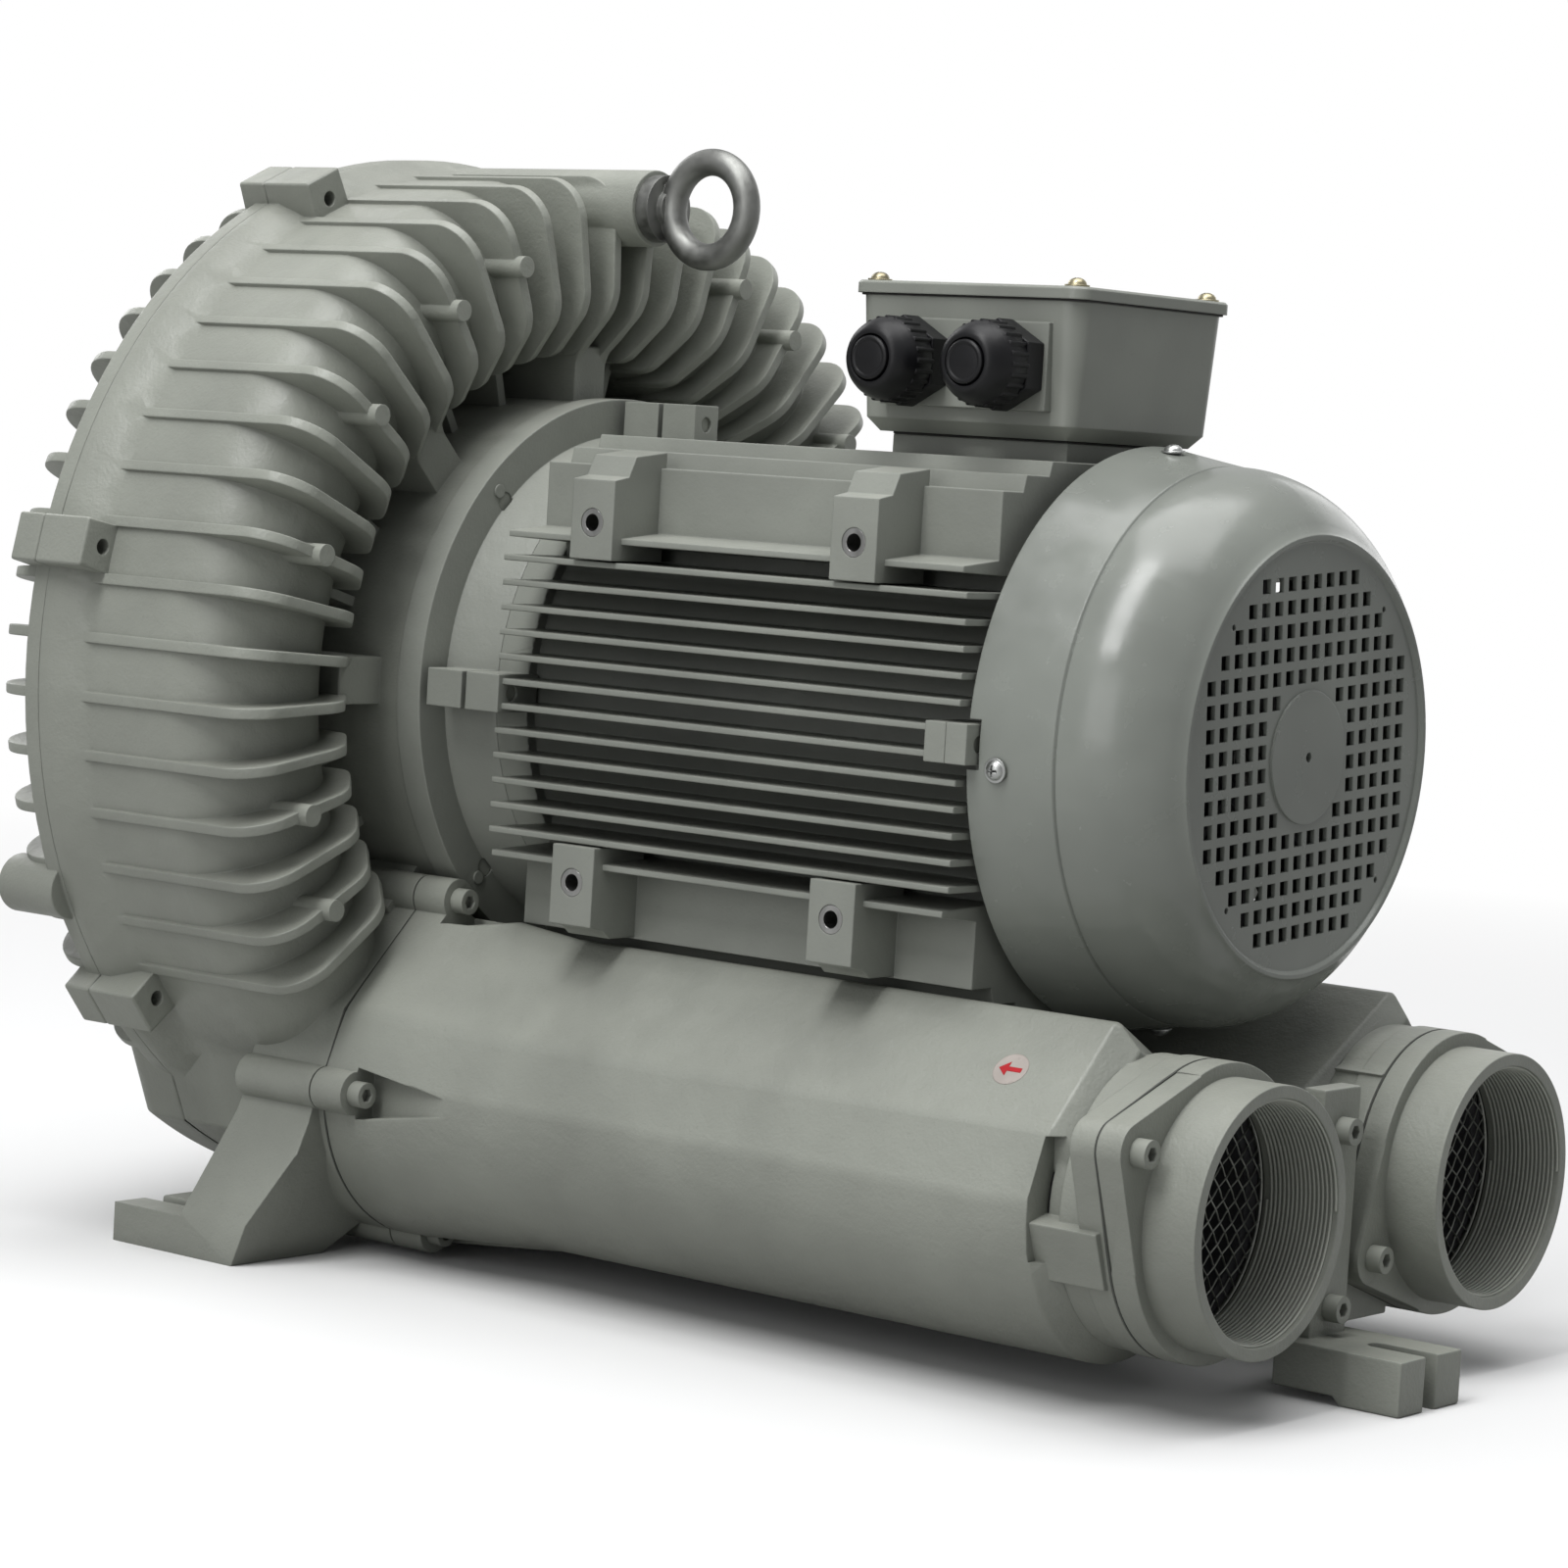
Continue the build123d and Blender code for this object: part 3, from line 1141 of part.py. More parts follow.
def lid_gasket():
    """Frame-shaped sheet between box and lid."""
    outer = RectangleRounded(box_width, box_length, box_corner)
    inner = RectangleRounded(box_width - 4 * box_wall, box_length - 4 * box_wall, box_corner)
    sheet = extrude(Plane(origin=(0, box_middle_y, box_top_z)) * (outer - inner),
                    amount=gasket_thickness)
    return sheet - [Pos(x, y, box_top_z) * Cylinder(lid_screw_radius + 0.5, 10)
                    for x, y in lid_screw_places()]


def terminal_lid():
    """Flat lid with round corners and an eased top edge."""
    low = box_top_z + gasket_thickness
    face = RectangleRounded(box_width + 2 * lid_overhang, box_length + 2 * lid_overhang,
                            box_corner + lid_overhang)
    lid = extrude(Plane(origin=(0, box_middle_y, low)) * face, amount=lid_thickness)
    lid = chamfer(lid.faces().sort_by(Axis.Z)[-1].edges(), 1.2)
    return lid - [Pos(x, y, low) * Cylinder(lid_screw_radius, 40) for x, y in lid_screw_places()]


def lid_screws():
    """Dome-head screws, each on a washer."""
    seat = box_top_z + gasket_thickness + lid_thickness
    radius, height = lid_screw_head
    shapes = []
    for x, y in lid_screw_places():
        washer = Pos(x, y, seat + lid_washer[1] / 2) * Cylinder(*lid_washer)
        dome = Pos(x, y, seat + lid_washer[1] + height / 2) * Cone(radius, radius * 0.6, height)
        shank = Pos(x, y, seat - 9) * Cylinder(lid_screw_radius - seat_clearance, 18)
        shapes.append(washer + dome + shank)
    return shapes


def terminal_board():
    width, length, height = board_size
    board = Pos(0, box_middle_y - 10, box_floor_z + height / 2) * Box(width, length, height)
    return board - [Pos(x, y, box_floor_z + height) * Cylinder(stud_radius, 2 * height - 4)
                    for x, y in stud_places()]


def stud_places():
    """Centres of the six terminal studs."""
    return [(i * stud_pitch, box_middle_y - 10 + s * stud_pitch / 2)
            for i in (-1, 0, 1) for s in (-1, 1)]


def terminal_studs():
    """Six studs, each with a hex nut on the board."""
    top = box_floor_z + board_size[2]
    shapes = []
    for x, y in stud_places():
        pin = Pos(x, y, top + (stud_height - 8) / 2 - 2) * Cylinder(
            stud_radius - seat_clearance, stud_height)
        nut = extrude(Plane(origin=(x, y, top)) * RegularPolygon(5, 6), amount=4)
        shapes.append(pin + nut)
    return shapes


def hex_along_x(flats, x0, x1, y, z):
    """Hexagonal bar along X with two flats level."""
    plane = Plane(origin=(x0, y, z), x_dir=(0, 1, 0), z_dir=(1, 0, 0))
    return extrude(plane * Rot(0, 0, gland_nut_turn) * RegularPolygon(
        flats / 2, 6, major_radius=False), amount=x1 - x0)


def gland_bodies():
    """Gland bodies screwed into the pad, with a sleeve that carries the cap nut."""
    shapes = []
    hex_front = pad_face_x - gland_body_length
    sleeve_front = hex_front - gland_nut_length + 4
    for y in gland_ys:
        body = hex_along_x(gland_flats, hex_front, pad_face_x, y, gland_height)
        body += cross_rod(gland_thread_radius - seat_clearance, pad_face_x,
                          pad_face_x + gland_thread_length, y, gland_height)
        body += cross_rod(gland_sleeve_radius, sleeve_front, hex_front, y, gland_height)
        shapes.append(body - cross_rod(gland_plug_radius, sleeve_front - 1,
                                       pad_face_x + gland_thread_length + 1, y, gland_height))
    return shapes


def gland_nuts():
    """Cap nuts: a hexagon with a domed nose and an open mouth."""
    shapes = []
    back = pad_face_x - gland_body_length - seat_clearance
    front = back - gland_nut_length
    for y in gland_ys:
        nut = hex_along_x(gland_flats, front, back, y, gland_height)
        dome = Pos((front + back) / 2, y, gland_height) * Rot(0, -90, 0) * Cone(
            gland_flats / 2 + 13, gland_flats / 2 - 3, gland_nut_length)
        bore = cross_rod(gland_sleeve_radius + seat_clearance, front + 2, back + 1, y,
                         gland_height)
        mouth = cross_rod(gland_plug_radius, front - 1, front + 3, y, gland_height)
        shapes.append((nut & dome) - bore - mouth)
    return shapes


def gland_plugs():
    """Blind plugs that close the unused glands."""
    front = pad_face_x - gland_body_length - gland_nut_length - gland_plug_proud
    return [cross_rod(gland_plug_radius - seat_clearance, front, pad_face_x + 4, y, gland_height)
            for y in gland_ys]


# ---------------------------------------------------------------- assembly
parts = {
    "blower_housing": blower_housing(),
    "blower_cover": blower_cover(),
    "cover_bolts": cover_bolts(),
    "lifting_eyebolt": lifting_eyebolt(),
    "shaft_seal": shaft_seal(),
    "impeller": impeller(),
    "impeller_key": impeller_key(),
    "impeller_washer": impeller_washer(),
    "impeller_screw": impeller_screw(),
    "motor_shaft": motor_shaft(),
    "rotor_core": rotor_core(),
    "rotor_cage": rotor_cage(),
    "drive_bearing_outer": bearing_outer(drive_bearing_y),
    "drive_bearing_inner": bearing_inner(drive_bearing_y),
    "drive_bearing_rollers": bearing_rollers(drive_bearing_y),
    "rear_bearing_outer": bearing_outer(rear_bearing_y),
    "rear_bearing_inner": bearing_inner(rear_bearing_y),
    "rear_bearing_rollers": bearing_rollers(rear_bearing_y),
    "preload_spring": preload_spring(),
    "stator_core": stator_core(),
    "stator_windings": stator_windings(),
    "motor_frame": motor_frame(),
    "foot_inserts": foot_inserts(),
    "drive_end_flange": drive_end_flange(),
    "rear_end_shield": rear_end_shield(),
    "flange_bolts": flange_bolts(),
    "shield_studs": shield_studs(),
    "cooling_fan": cooling_fan(),
    "fan_circlip": fan_circlip(),
    "fan_cowl": fan_cowl(),
    "cowl_screws": cowl_screws(),
    "terminal_box": terminal_box(),
    "box_gasket": box_gasket(),
    "lid_gasket": lid_gasket(),
    "terminal_lid": terminal_lid(),
    "lid_screws": lid_screws(),
    "terminal_board": terminal_board(),
    "terminal_studs": terminal_studs(),
    "gland_bodies": gland_bodies(),
    "gland_nuts": gland_nuts(),
    "gland_plugs": gland_plugs(),
    "silencer_left": silencer(-1),
    "silencer_right": silencer(1),
    **pair("silencer_gasket", silencer_gasket()),
    **pair("silencer_liner", silencer_liner()),
    "silencer_bolts": silencer_bolts(),
    **pair("port_flange", port_flange()),
    **pair("port_gasket", port_gasket()),
    **pair("port_screen", port_screen()),
    "port_bolts": port_bolts(),
    "rear_foot": rear_foot(),
    "rear_foot_bolts": rear_foot_bolts(),
}

os.makedirs("parts", exist_ok=True)
for name, shape in parts.items():
    if isinstance(shape, (list, tuple)):
        shape = Compound(children=list(shape))
    export_step(place * shape, f"parts/{name}.step")
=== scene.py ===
# %% [markdown]
# This lesson dresses a side channel blower. The machine is a finned ring casting that blows or
# sucks air, with an electric motor on its front, two silencers under the motor, and a lifting
# eye on top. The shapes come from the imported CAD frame. This script gives them finishes, rounds
# the edges of the pieces that show, makes the screws, screens, threads and glands in more
# detail, and adds a floor, lamps and a camera.

import json
import math

import bmesh
import bpy
from mathutils import Matrix, Vector


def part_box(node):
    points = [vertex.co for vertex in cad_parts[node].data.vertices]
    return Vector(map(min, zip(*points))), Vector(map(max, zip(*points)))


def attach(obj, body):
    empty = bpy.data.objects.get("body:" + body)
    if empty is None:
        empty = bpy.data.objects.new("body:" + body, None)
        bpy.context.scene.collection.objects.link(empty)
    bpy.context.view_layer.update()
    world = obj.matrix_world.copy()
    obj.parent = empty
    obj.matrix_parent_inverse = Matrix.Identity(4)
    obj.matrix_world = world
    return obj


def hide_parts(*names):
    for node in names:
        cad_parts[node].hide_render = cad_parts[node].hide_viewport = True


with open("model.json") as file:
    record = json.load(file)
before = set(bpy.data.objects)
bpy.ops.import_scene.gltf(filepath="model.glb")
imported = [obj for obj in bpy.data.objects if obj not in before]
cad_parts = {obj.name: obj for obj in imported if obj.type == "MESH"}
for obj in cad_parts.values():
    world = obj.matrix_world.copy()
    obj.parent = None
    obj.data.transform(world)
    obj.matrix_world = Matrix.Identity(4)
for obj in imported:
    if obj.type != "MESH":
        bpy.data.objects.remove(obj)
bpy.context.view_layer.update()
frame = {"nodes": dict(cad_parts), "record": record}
millimetre = 0.001

# %% [markdown]
# Colours are easiest to judge as the 0 to 255 values of a paint chart. The shader wants linear
# light, so one helper turns the first into the second.


# %% Colour helper
def chart(red, green, blue):
    """Linear colour, with full alpha, of a 0 to 255 paint-chart colour."""
    values = []
    for value in (red, green, blue):
        share = value / 255
        values.append(share / 12.92 if share <= 0.04045 else ((share + 0.055) / 1.055) ** 2.4)
    return (*values, 1.0)


# %% [markdown]
# Every finish is a small node tree. A few helpers keep them short: one makes an empty material,
# one adds a node with its inputs set by name, and one adds a noise texture read in object
# coordinates, so that a pattern stays put when a piece turns with the rotor.


# %% Node helpers
def new_finish(name):
    """Material with nodes: returns it, its tree and its shader."""
    finish = bpy.data.materials.new(name)
    finish.use_nodes = True
    return finish, finish.node_tree, finish.node_tree.nodes["Principled BSDF"]


def put(tree, kind, settings=None, **inputs):
    """Add a node. An input is i and its number, or its name with _ for each space, and takes
    a value or another node's socket."""
    made = tree.nodes.new(kind)
    for key, value in (settings or {}).items():
        setattr(made, key, value)
    for key, value in inputs.items():
        numbered = key[0] == "i" and key[1:].isdigit()
        socket = made.inputs[int(key[1:]) if numbered else key.replace("_", " ")]
        if isinstance(value, bpy.types.NodeSocket):
            tree.links.new(value, socket)
        else:
            socket.default_value = value
    return made


def mottle(tree, scale, detail=4.0, roughness=0.55, stretch=(1, 1, 1)):
    """Noise in object coordinates, from 0 to 1, with scale in waves per metre."""
    place = put(tree, "ShaderNodeTexCoord")
    mapped = put(tree, "ShaderNodeMapping", Vector=place.outputs["Object"], Scale=stretch)
    noise = put(tree, "ShaderNodeTexNoise", Vector=mapped.outputs[0], Scale=scale,
                Detail=detail, Roughness=roughness)
    return noise.outputs[0]


def remap(tree, value, low, high, to_low, to_high):
    """Stretch a value's range, clamped at both ends."""
    made = put(tree, "ShaderNodeMapRange", Value=value)
    for key, number in zip(("From Min", "From Max", "To Min", "To Max"),
                           (low, high, to_low, to_high)):
        made.inputs[key].default_value = number
    return made.outputs[0]


def blend_colours(tree, share, first, second, way="MIX"):
    """Mix two colours by a share from 0 to 1."""
    made = put(tree, "ShaderNodeMix", {"data_type": "RGBA", "blend_type": way}, i0=share)
    for index, colour in ((6, first), (7, second)):
        if isinstance(colour, bpy.types.NodeSocket):
            tree.links.new(colour, made.inputs[index])
        else:
            made.inputs[index].default_value = colour
    return made.outputs[2]


# %% [markdown]
# Machine enamel over a sand casting isn't flat. It shows broad cloudy tone, the pebble of the
# casting under it, dust where a face looks up, and rubbed, slightly paler edges. Where walls
# meet, painted shade darkens the colour. Noise gives the tone and the pebble, the surface normal
# tells which faces look up, and an ambient occlusion node finds the corners for the painted
# shade.


# %% Casting enamel
paint_edge_round = 1.0 * millimetre
# How far the ambient occlusion looks for corners that get painted shade.
corner_shade_reach = 14 * millimetre
dust_colour = chart(186, 186, 176)


def shade(colour, share):
    """Darker or lighter copy of a colour."""
    return tuple(min(1.0, channel * share) for channel in colour[:3]) + (1.0,)


def enamel(name, colour, pebble, gloss, dust=0.25, corner_shade=0.5, speck=0.35):
    """Grey machine paint with cloudy tone, casting pebble, dust, painted corner shade and rubbed
    edges.
    """
    finish, tree, shader = new_finish(name)
    deep, pale = shade(colour, 0.86), shade(colour, 1.10)
    clouds = remap(tree, mottle(tree, 9.0, detail=3.0), 0.35, 0.65, 0, 1)
    toned = blend_colours(tree, clouds, deep, pale)
    specks = remap(tree, mottle(tree, 420.0, detail=2.0), 0.62, 0.75, 0, speck)
    speckled = blend_colours(tree, specks, toned, deep)
    geometry = put(tree, "ShaderNodeNewGeometry")
    split = put(tree, "ShaderNodeSeparateXYZ", i0=geometry.outputs["Normal"])
    looks_up = remap(tree, split.outputs[2], 0.55, 1.0, 0, dust)
    patchy = put(tree, "ShaderNodeMath", {"operation": "MULTIPLY"}, i0=looks_up,
                 i1=remap(tree, mottle(tree, 35.0), 0.3, 0.7, 0.3, 1)).outputs[0]
    dusty = blend_colours(tree, patchy, speckled, dust_colour)
    # Painted shade: ambient occlusion darkens the colour in corners and creases, down to 0.42 of
    # the paint.
    corners = put(tree, "ShaderNodeAmbientOcclusion", {"samples": 4}, Distance=corner_shade_reach)
    corner_shade_share = remap(tree, corners.outputs["AO"], 0.25, 0.85, corner_shade, 0)
    corner_shaded = blend_colours(tree, corner_shade_share, dusty, shade(colour, 0.42))
    rounded = put(tree, "ShaderNodeBevel", {"samples": 4}, Radius=paint_edge_round)
    turn = put(tree, "ShaderNodeVectorMath", {"operation": "DOT_PRODUCT"},
               i0=rounded.outputs[0], i1=geometry.outputs["Normal"]).outputs["Value"]
    edge = remap(tree, turn, 0.985, 0.90, 0, 0.45)
    tree.links.new(blend_colours(tree, edge, corner_shaded, pale), shader.inputs["Base Color"])
    tree.links.new(remap(tree, mottle(tree, 60.0), 0.3, 0.7, gloss, gloss + 0.14),
                   shader.inputs["Roughness"])
    fine = put(tree, "ShaderNodeBump", Strength=pebble, Distance=0.4 * millimetre,
               Height=mottle(tree, 650.0, detail=3.0), Normal=rounded.outputs[0])
    broad = put(tree, "ShaderNodeBump", Strength=pebble * 0.7, Distance=1.2 * millimetre,
                Height=mottle(tree, 110.0, detail=2.0), Normal=fine.outputs[0])
    tree.links.new(broad.outputs[0], shader.inputs["Normal"])
    return finish


casting_grey = enamel("casting_grey", chart(142, 145, 137), pebble=0.55, gloss=0.36)
frame_grey = enamel("frame_grey", chart(138, 141, 134), pebble=0.30, gloss=0.34)
cowl_grey = enamel("cowl_grey", chart(130, 134, 128), pebble=0.03, gloss=0.16, dust=0.06,
                   speck=0.1)
# The threads in the port bores get a paler copy of the casting paint with little corner shade:
# painted light, so the shaded bore reads as bright as the outside.
lit_bore_grey = enamel("lit_bore_grey", chart(182, 185, 176), pebble=0.9, gloss=0.5, corner_shade=0.1)
box_grey = enamel("box_grey", chart(138, 141, 134), pebble=0.10, gloss=0.34, dust=0.15)
screw_grey = enamel("screw_grey", chart(146, 149, 141), pebble=0.08, gloss=0.34, dust=0.1)

# %% [markdown]
# Bare metal parts differ mostly in tint and in how smeared their shine is. Zinc plate is a
# slightly milky silver with cloudy patches, passivated screws lean to yellow, forged steel is
# darker and blotched, and machined steel shows fine lines.


# %% Metals
def metal(name, colour, shine, blotch=30.0, lines=(1, 1, 1)):
    """Metal with cloudy tone and uneven shine."""
    finish, tree, shader = new_finish(name)
    shader.inputs["Metallic"].default_value = 1.0
    deep = tuple(channel * 0.7 for channel in colour[:3]) + (1.0,)
    cloud = remap(tree, mottle(tree, blotch, stretch=lines), 0.35, 0.65, 0, 1)
    tree.links.new(blend_colours(tree, cloud, deep, colour), shader.inputs["Base Color"])
    tree.links.new(remap(tree, mottle(tree, blotch * 4), 0.3, 0.7, shine, shine + 0.18),
                   shader.inputs["Roughness"])
    rounded = put(tree, "ShaderNodeBevel", {"samples": 4}, Radius=0.6 * millimetre)
    fine = put(tree, "ShaderNodeBump", Strength=0.12, Distance=0.2 * millimetre,
               Height=mottle(tree, 900.0), Normal=rounded.outputs[0])
    tree.links.new(fine.outputs[0], shader.inputs["Normal"])
    return finish


zinc_plate = metal("zinc_plate", chart(196, 198, 196), 0.30)
yellow_zinc = metal("yellow_zinc", chart(176, 168, 140), 0.26)
turned_steel = metal("turned_steel", chart(168, 168, 166), 0.24, blotch=12.0, lines=(1, 14, 1))
dark_steel = metal("dark_steel", chart(92, 92, 90), 0.36)
raw_alloy = metal("raw_alloy", chart(186, 188, 190), 0.42)
screen_wire = metal("screen_wire", chart(150, 152, 146), 0.38, blotch=60.0)
forged_steel = metal("forged_steel", chart(142, 143, 140), 0.42, blotch=55.0)
copper_wire = metal("copper_wire", chart(178, 104, 66), 0.34, blotch=200.0, lines=(1, 6, 1))


# %% [markdown]
# Plastics and rubber aren't metallic: they get a dark base, a fine moulded grain and a soft
# sheen. The same builder serves the glands, the seals, the fan and the foam.


# %% Plastics and rubber
def moulded(name, colour, gloss, grain=500.0, depth=0.15):
    """Moulded plastic, rubber or foam."""
    finish, tree, shader = new_finish(name)
    pale = tuple(min(1.0, channel * 1.5 + 0.004) for channel in colour[:3]) + (1.0,)
    cloud = remap(tree, mottle(tree, 25.0), 0.35, 0.7, 0, 1)
    tree.links.new(blend_colours(tree, cloud, colour, pale), shader.inputs["Base Color"])
    tree.links.new(remap(tree, mottle(tree, 70.0), 0.3, 0.7, gloss, gloss + 0.12),
                   shader.inputs["Roughness"])
    rounded = put(tree, "ShaderNodeBevel", {"samples": 4}, Radius=0.8 * millimetre)
    fine = put(tree, "ShaderNodeBump", Strength=depth, Distance=0.3 * millimetre,
               Height=mottle(tree, grain), Normal=rounded.outputs[0])
    tree.links.new(fine.outputs[0], shader.inputs["Normal"])
    return finish


black_nylon = moulded("black_nylon", chart(9, 9, 12), 0.34)
black_nylon.node_tree.nodes["Principled BSDF"].inputs["Specular IOR Level"].default_value = 0.3
joint_paper = moulded("joint_paper", chart(66, 68, 64), 0.7)
seal_rubber = moulded("seal_rubber", chart(34, 33, 32), 0.62)
fan_plastic = moulded("fan_plastic", chart(40, 41, 43), 0.45)
phenolic = moulded("phenolic", chart(70, 52, 40), 0.40)
open_foam = moulded("open_foam", chart(52, 52, 54), 0.85, grain=260.0, depth=1.0)

# %% [markdown]
# Now each CAD node gets its finish. A dictionary from finish to nodes keeps the list short.

# %% Finish every node
finishes = {
    casting_grey: ("blower_housing", "blower_cover", "silencer_left", "silencer_right",
                   "rear_foot", "port_flange_left", "port_flange_right"),
    frame_grey: ("motor_frame", "drive_end_flange", "rear_end_shield"),
    cowl_grey: ("fan_cowl",),
    box_grey: ("terminal_box", "terminal_lid"),
    screw_grey: ("cover_bolts", "flange_bolts", "shield_studs", "silencer_bolts", "port_bolts",
                 "rear_foot_bolts"),
    forged_steel: ("lifting_eyebolt",),
    zinc_plate: ("cowl_screws", "impeller_washer", "impeller_screw"),
    yellow_zinc: ("lid_screws", "terminal_studs"),
    turned_steel: ("motor_shaft", "shaft_seal", "impeller_key", "fan_circlip",
                   "drive_bearing_outer", "drive_bearing_inner", "drive_bearing_rollers",
                   "rear_bearing_outer", "rear_bearing_inner", "rear_bearing_rollers",
                   "preload_spring", "foot_inserts"),
    dark_steel: ("rotor_core", "stator_core"),
    screen_wire: ("port_screen_left", "port_screen_right"),
    raw_alloy: ("impeller", "rotor_cage"),
    copper_wire: ("stator_windings",),
    black_nylon: ("gland_bodies", "gland_nuts", "gland_plugs"),
    seal_rubber: ("box_gasket", "lid_gasket"),
    joint_paper: ("silencer_gasket_left", "silencer_gasket_right", "port_gasket_left",
                  "port_gasket_right"),
    fan_plastic: ("cooling_fan",),
    phenolic: ("terminal_board",),
    open_foam: ("silencer_liner_left", "silencer_liner_right"),
}
node_finish = {name: finish for finish, names in finishes.items() for name in names}
for name, finish in node_finish.items():
    part = frame["nodes"][name]
    if not part.material_slots:
        part.data.materials.append(finish)
    for slot in part.material_slots:
        slot.material = finish
print("finished nodes", len(node_finish))

# %% [markdown]
# A frame node arrives as loose triangles with knife edges, and its mesh must stay as it is. A
# real casting has no knife edge: each one is rounded by the mould or the file. So each piece
# that can be seen gets a softened copy. Its triangles are joined, its flat faces made whole, and
# a narrow bevel is cut along every edge that is long enough to take it. Curved walls are then
# shaded smoothly, with the flat faces kept flat by weighted normals.


# %% Softened castings
def body_of(name):
    """Name of the moving body that holds a node."""
    return next(body for body, names in frame["record"]["behaviour"]["bodies"].items()
                if name in names)


def joined_copy(name):
    """A node's mesh with its triangles joined and its flat faces whole."""
    shape = bmesh.new()
    shape.from_mesh(frame["nodes"][name].data)
    bmesh.ops.remove_doubles(shape, verts=shape.verts, dist=0.01 * millimetre)
    bmesh.ops.dissolve_limit(shape, angle_limit=math.radians(0.3), verts=shape.verts,
                             edges=shape.edges)
    return shape


def sharp_edges(shape, fold):
    """Closed edges that turn by more than fold degrees."""
    return [edge for edge in shape.edges
            if edge.is_manifold and abs(edge.calc_face_angle(0)) > math.radians(fold)]


def round_edges(shape, width, fold=35, room=2.2, keep=None, steps=2):
    """Bevel the outward sharp edges that have room for it, away from short ones."""
    sharp = [edge for edge in sharp_edges(shape, fold) if keep is None or keep(edge)]
    tight = {corner for edge in sharp if edge.calc_length() < room * width
             for corner in edge.verts}
    chosen = [edge for edge in sharp if edge.is_convex and tight.isdisjoint(edge.verts)]
    bmesh.ops.bevel(shape, geom=chosen, offset=width, segments=steps, profile=0.6,
                    affect="EDGES", clamp_overlap=False)
    return len(chosen)


def place_piece(shape_or_mesh, name, finish, body):
    """Turn a mesh into a piece that rides on a body."""
    mesh = shape_or_mesh
    if isinstance(shape_or_mesh, bmesh.types.BMesh):
        mesh = bpy.data.meshes.new(name)
        shape_or_mesh.to_mesh(mesh)
        shape_or_mesh.free()
    mesh.materials.clear()
    mesh.materials.append(finish)
    piece = bpy.data.objects.new(name, mesh)
    bpy.context.collection.objects.link(piece)
    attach(piece, body)
    return piece


def shade_smooth(shape, fold=32):
    """Smooth curved walls and leave real edges crisp."""
    for face in shape.faces:
        face.smooth = True
    for edge in shape.edges:
        edge.smooth = not edge.is_manifold or edge.calc_face_angle(0) < math.radians(fold)


def weigh_normals(piece):
    """Let large faces decide the shading where a bevel meets them."""
    steady = piece.modifiers.new("flat faces", "WEIGHTED_NORMAL")
    steady.keep_sharp = True


def soften(name, width, fold=35, extra=(), first=None):
    """Replace a node with a copy whose edges are rounded."""
    shape = joined_copy(name)
    if first:
        first(shape)
    rounded = sum(round_edges(shape, wide, 12, keep=keep, steps=3) for wide, keep in extra)
    rounded += round_edges(shape, width, fold)
    shade_smooth(shape)
    count = len(shape.faces)
    piece = place_piece(shape, name + "_soft", node_finish[name], body_of(name))
    weigh_normals(piece)
    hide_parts(name)
    print(name, "edges rounded", rounded, "faces", count)
    return piece


# %% [markdown]
# The fins of the ring are the face of this machine. Their free edges are rounded by almost half
# their thickness, so they are cut first and wider than the rest of the casting.

# %% Soften the castings
axis_height = 0.295
flange_y = 0.1815            # where the motor flange meets the ring
port_x, port_height = 0.103, 0.0935
thread_crest, thread_root = 0.055, 0.0562
fin_thickness = 5.5 * millimetre


def ring_place(edge):
    """Radius from the motor axis and distance behind the flange face, at an edge's middle."""
    middle = (edge.verts[0].co + edge.verts[1].co) / 2
    return math.hypot(middle.x, middle.z - axis_height), middle.y - flange_y, middle.z


def on_a_fin(edge):
    """Tell the free edges of the ring fins, where they stand well clear of the ring."""
    radius, back, height = ring_place(edge)
    return 0.170 < radius < 0.2665 and -0.014 < back < 0.085 and height > 0.16


def across_a_fin(edge, at_radius, at_back):
    """Tell the short edges that cross a fin's thickness at one corner of its outline."""
    radius, back, _ = ring_place(edge)
    crosses = abs(edge.calc_length() - fin_thickness) < 0.4 * millimetre
    return crosses and math.hypot(radius - at_radius, back - at_back) < 1.5 * millimetre


def round_fin_corners(shape):
    """Round each fin's nose and the bend in front of it before its long edges are softened."""
    for at_radius, at_back, width in ((0.172, 0.014, 6), (0.199, -0.012, 9)):
        corners = [edge for edge in sharp_edges(shape, 12)
                   if across_a_fin(edge, at_radius, at_back)]
        bmesh.ops.bevel(shape, geom=corners, offset=width * millimetre, segments=5,
                        profile=0.5, affect="EDGES", clamp_overlap=False)
        print("fin corners rounded", len(corners))


def on_a_lug(edge):
    """Tell the edges of the joint lugs round the ring."""
    radius, back, _ = ring_place(edge)
    return radius > 0.2735 and 0.09 < back < 0.15


soften("blower_housing", 0.9 * millimetre, first=round_fin_corners,
       extra=((1.7 * millimetre, on_a_fin), (2.0 * millimetre, on_a_lug)))
soften("blower_cover", 1.0 * millimetre, extra=((2.0 * millimetre, on_a_lug),))


def widen_bore(side):
    """Bring a port flange's bore out to the root of its thread."""
    axis_x = port_x if side == "right" else -port_x

    def widen(shape):
        moved = 0
        for corner in shape.verts:
            out = Vector((corner.co.x - axis_x, 0, corner.co.z - port_height))
            if abs(out.length - thread_crest) < 0.05 * millimetre:
                corner.co += out * (thread_root / out.length - 1)
                moved += 1
        print("bore corners moved out", side, moved)
    return widen


for side in ("left", "right"):
    soften("port_flange_" + side, 0.8 * millimetre, first=widen_bore(side))

# %% [markdown]
# The silencers are long castings with soft ridges. The frame has these as plain corners, so the
# copies get a wide round along each of them. The frame's recess near each port also breaks
# through into the bore, and a short curved web closes most of that opening.

# %% Silencers
ridge_corners = ((17, 83), (66, 34), (-76, 30))      # outward and up from the port axis, in mm
ridge_length = 10 * millimetre
web_inner, web_outer = 60.1 * millimetre, 62.4 * millimetre
web_half_angle, web_steps = 26, 12
web_ends = (-0.2480, -0.2605)


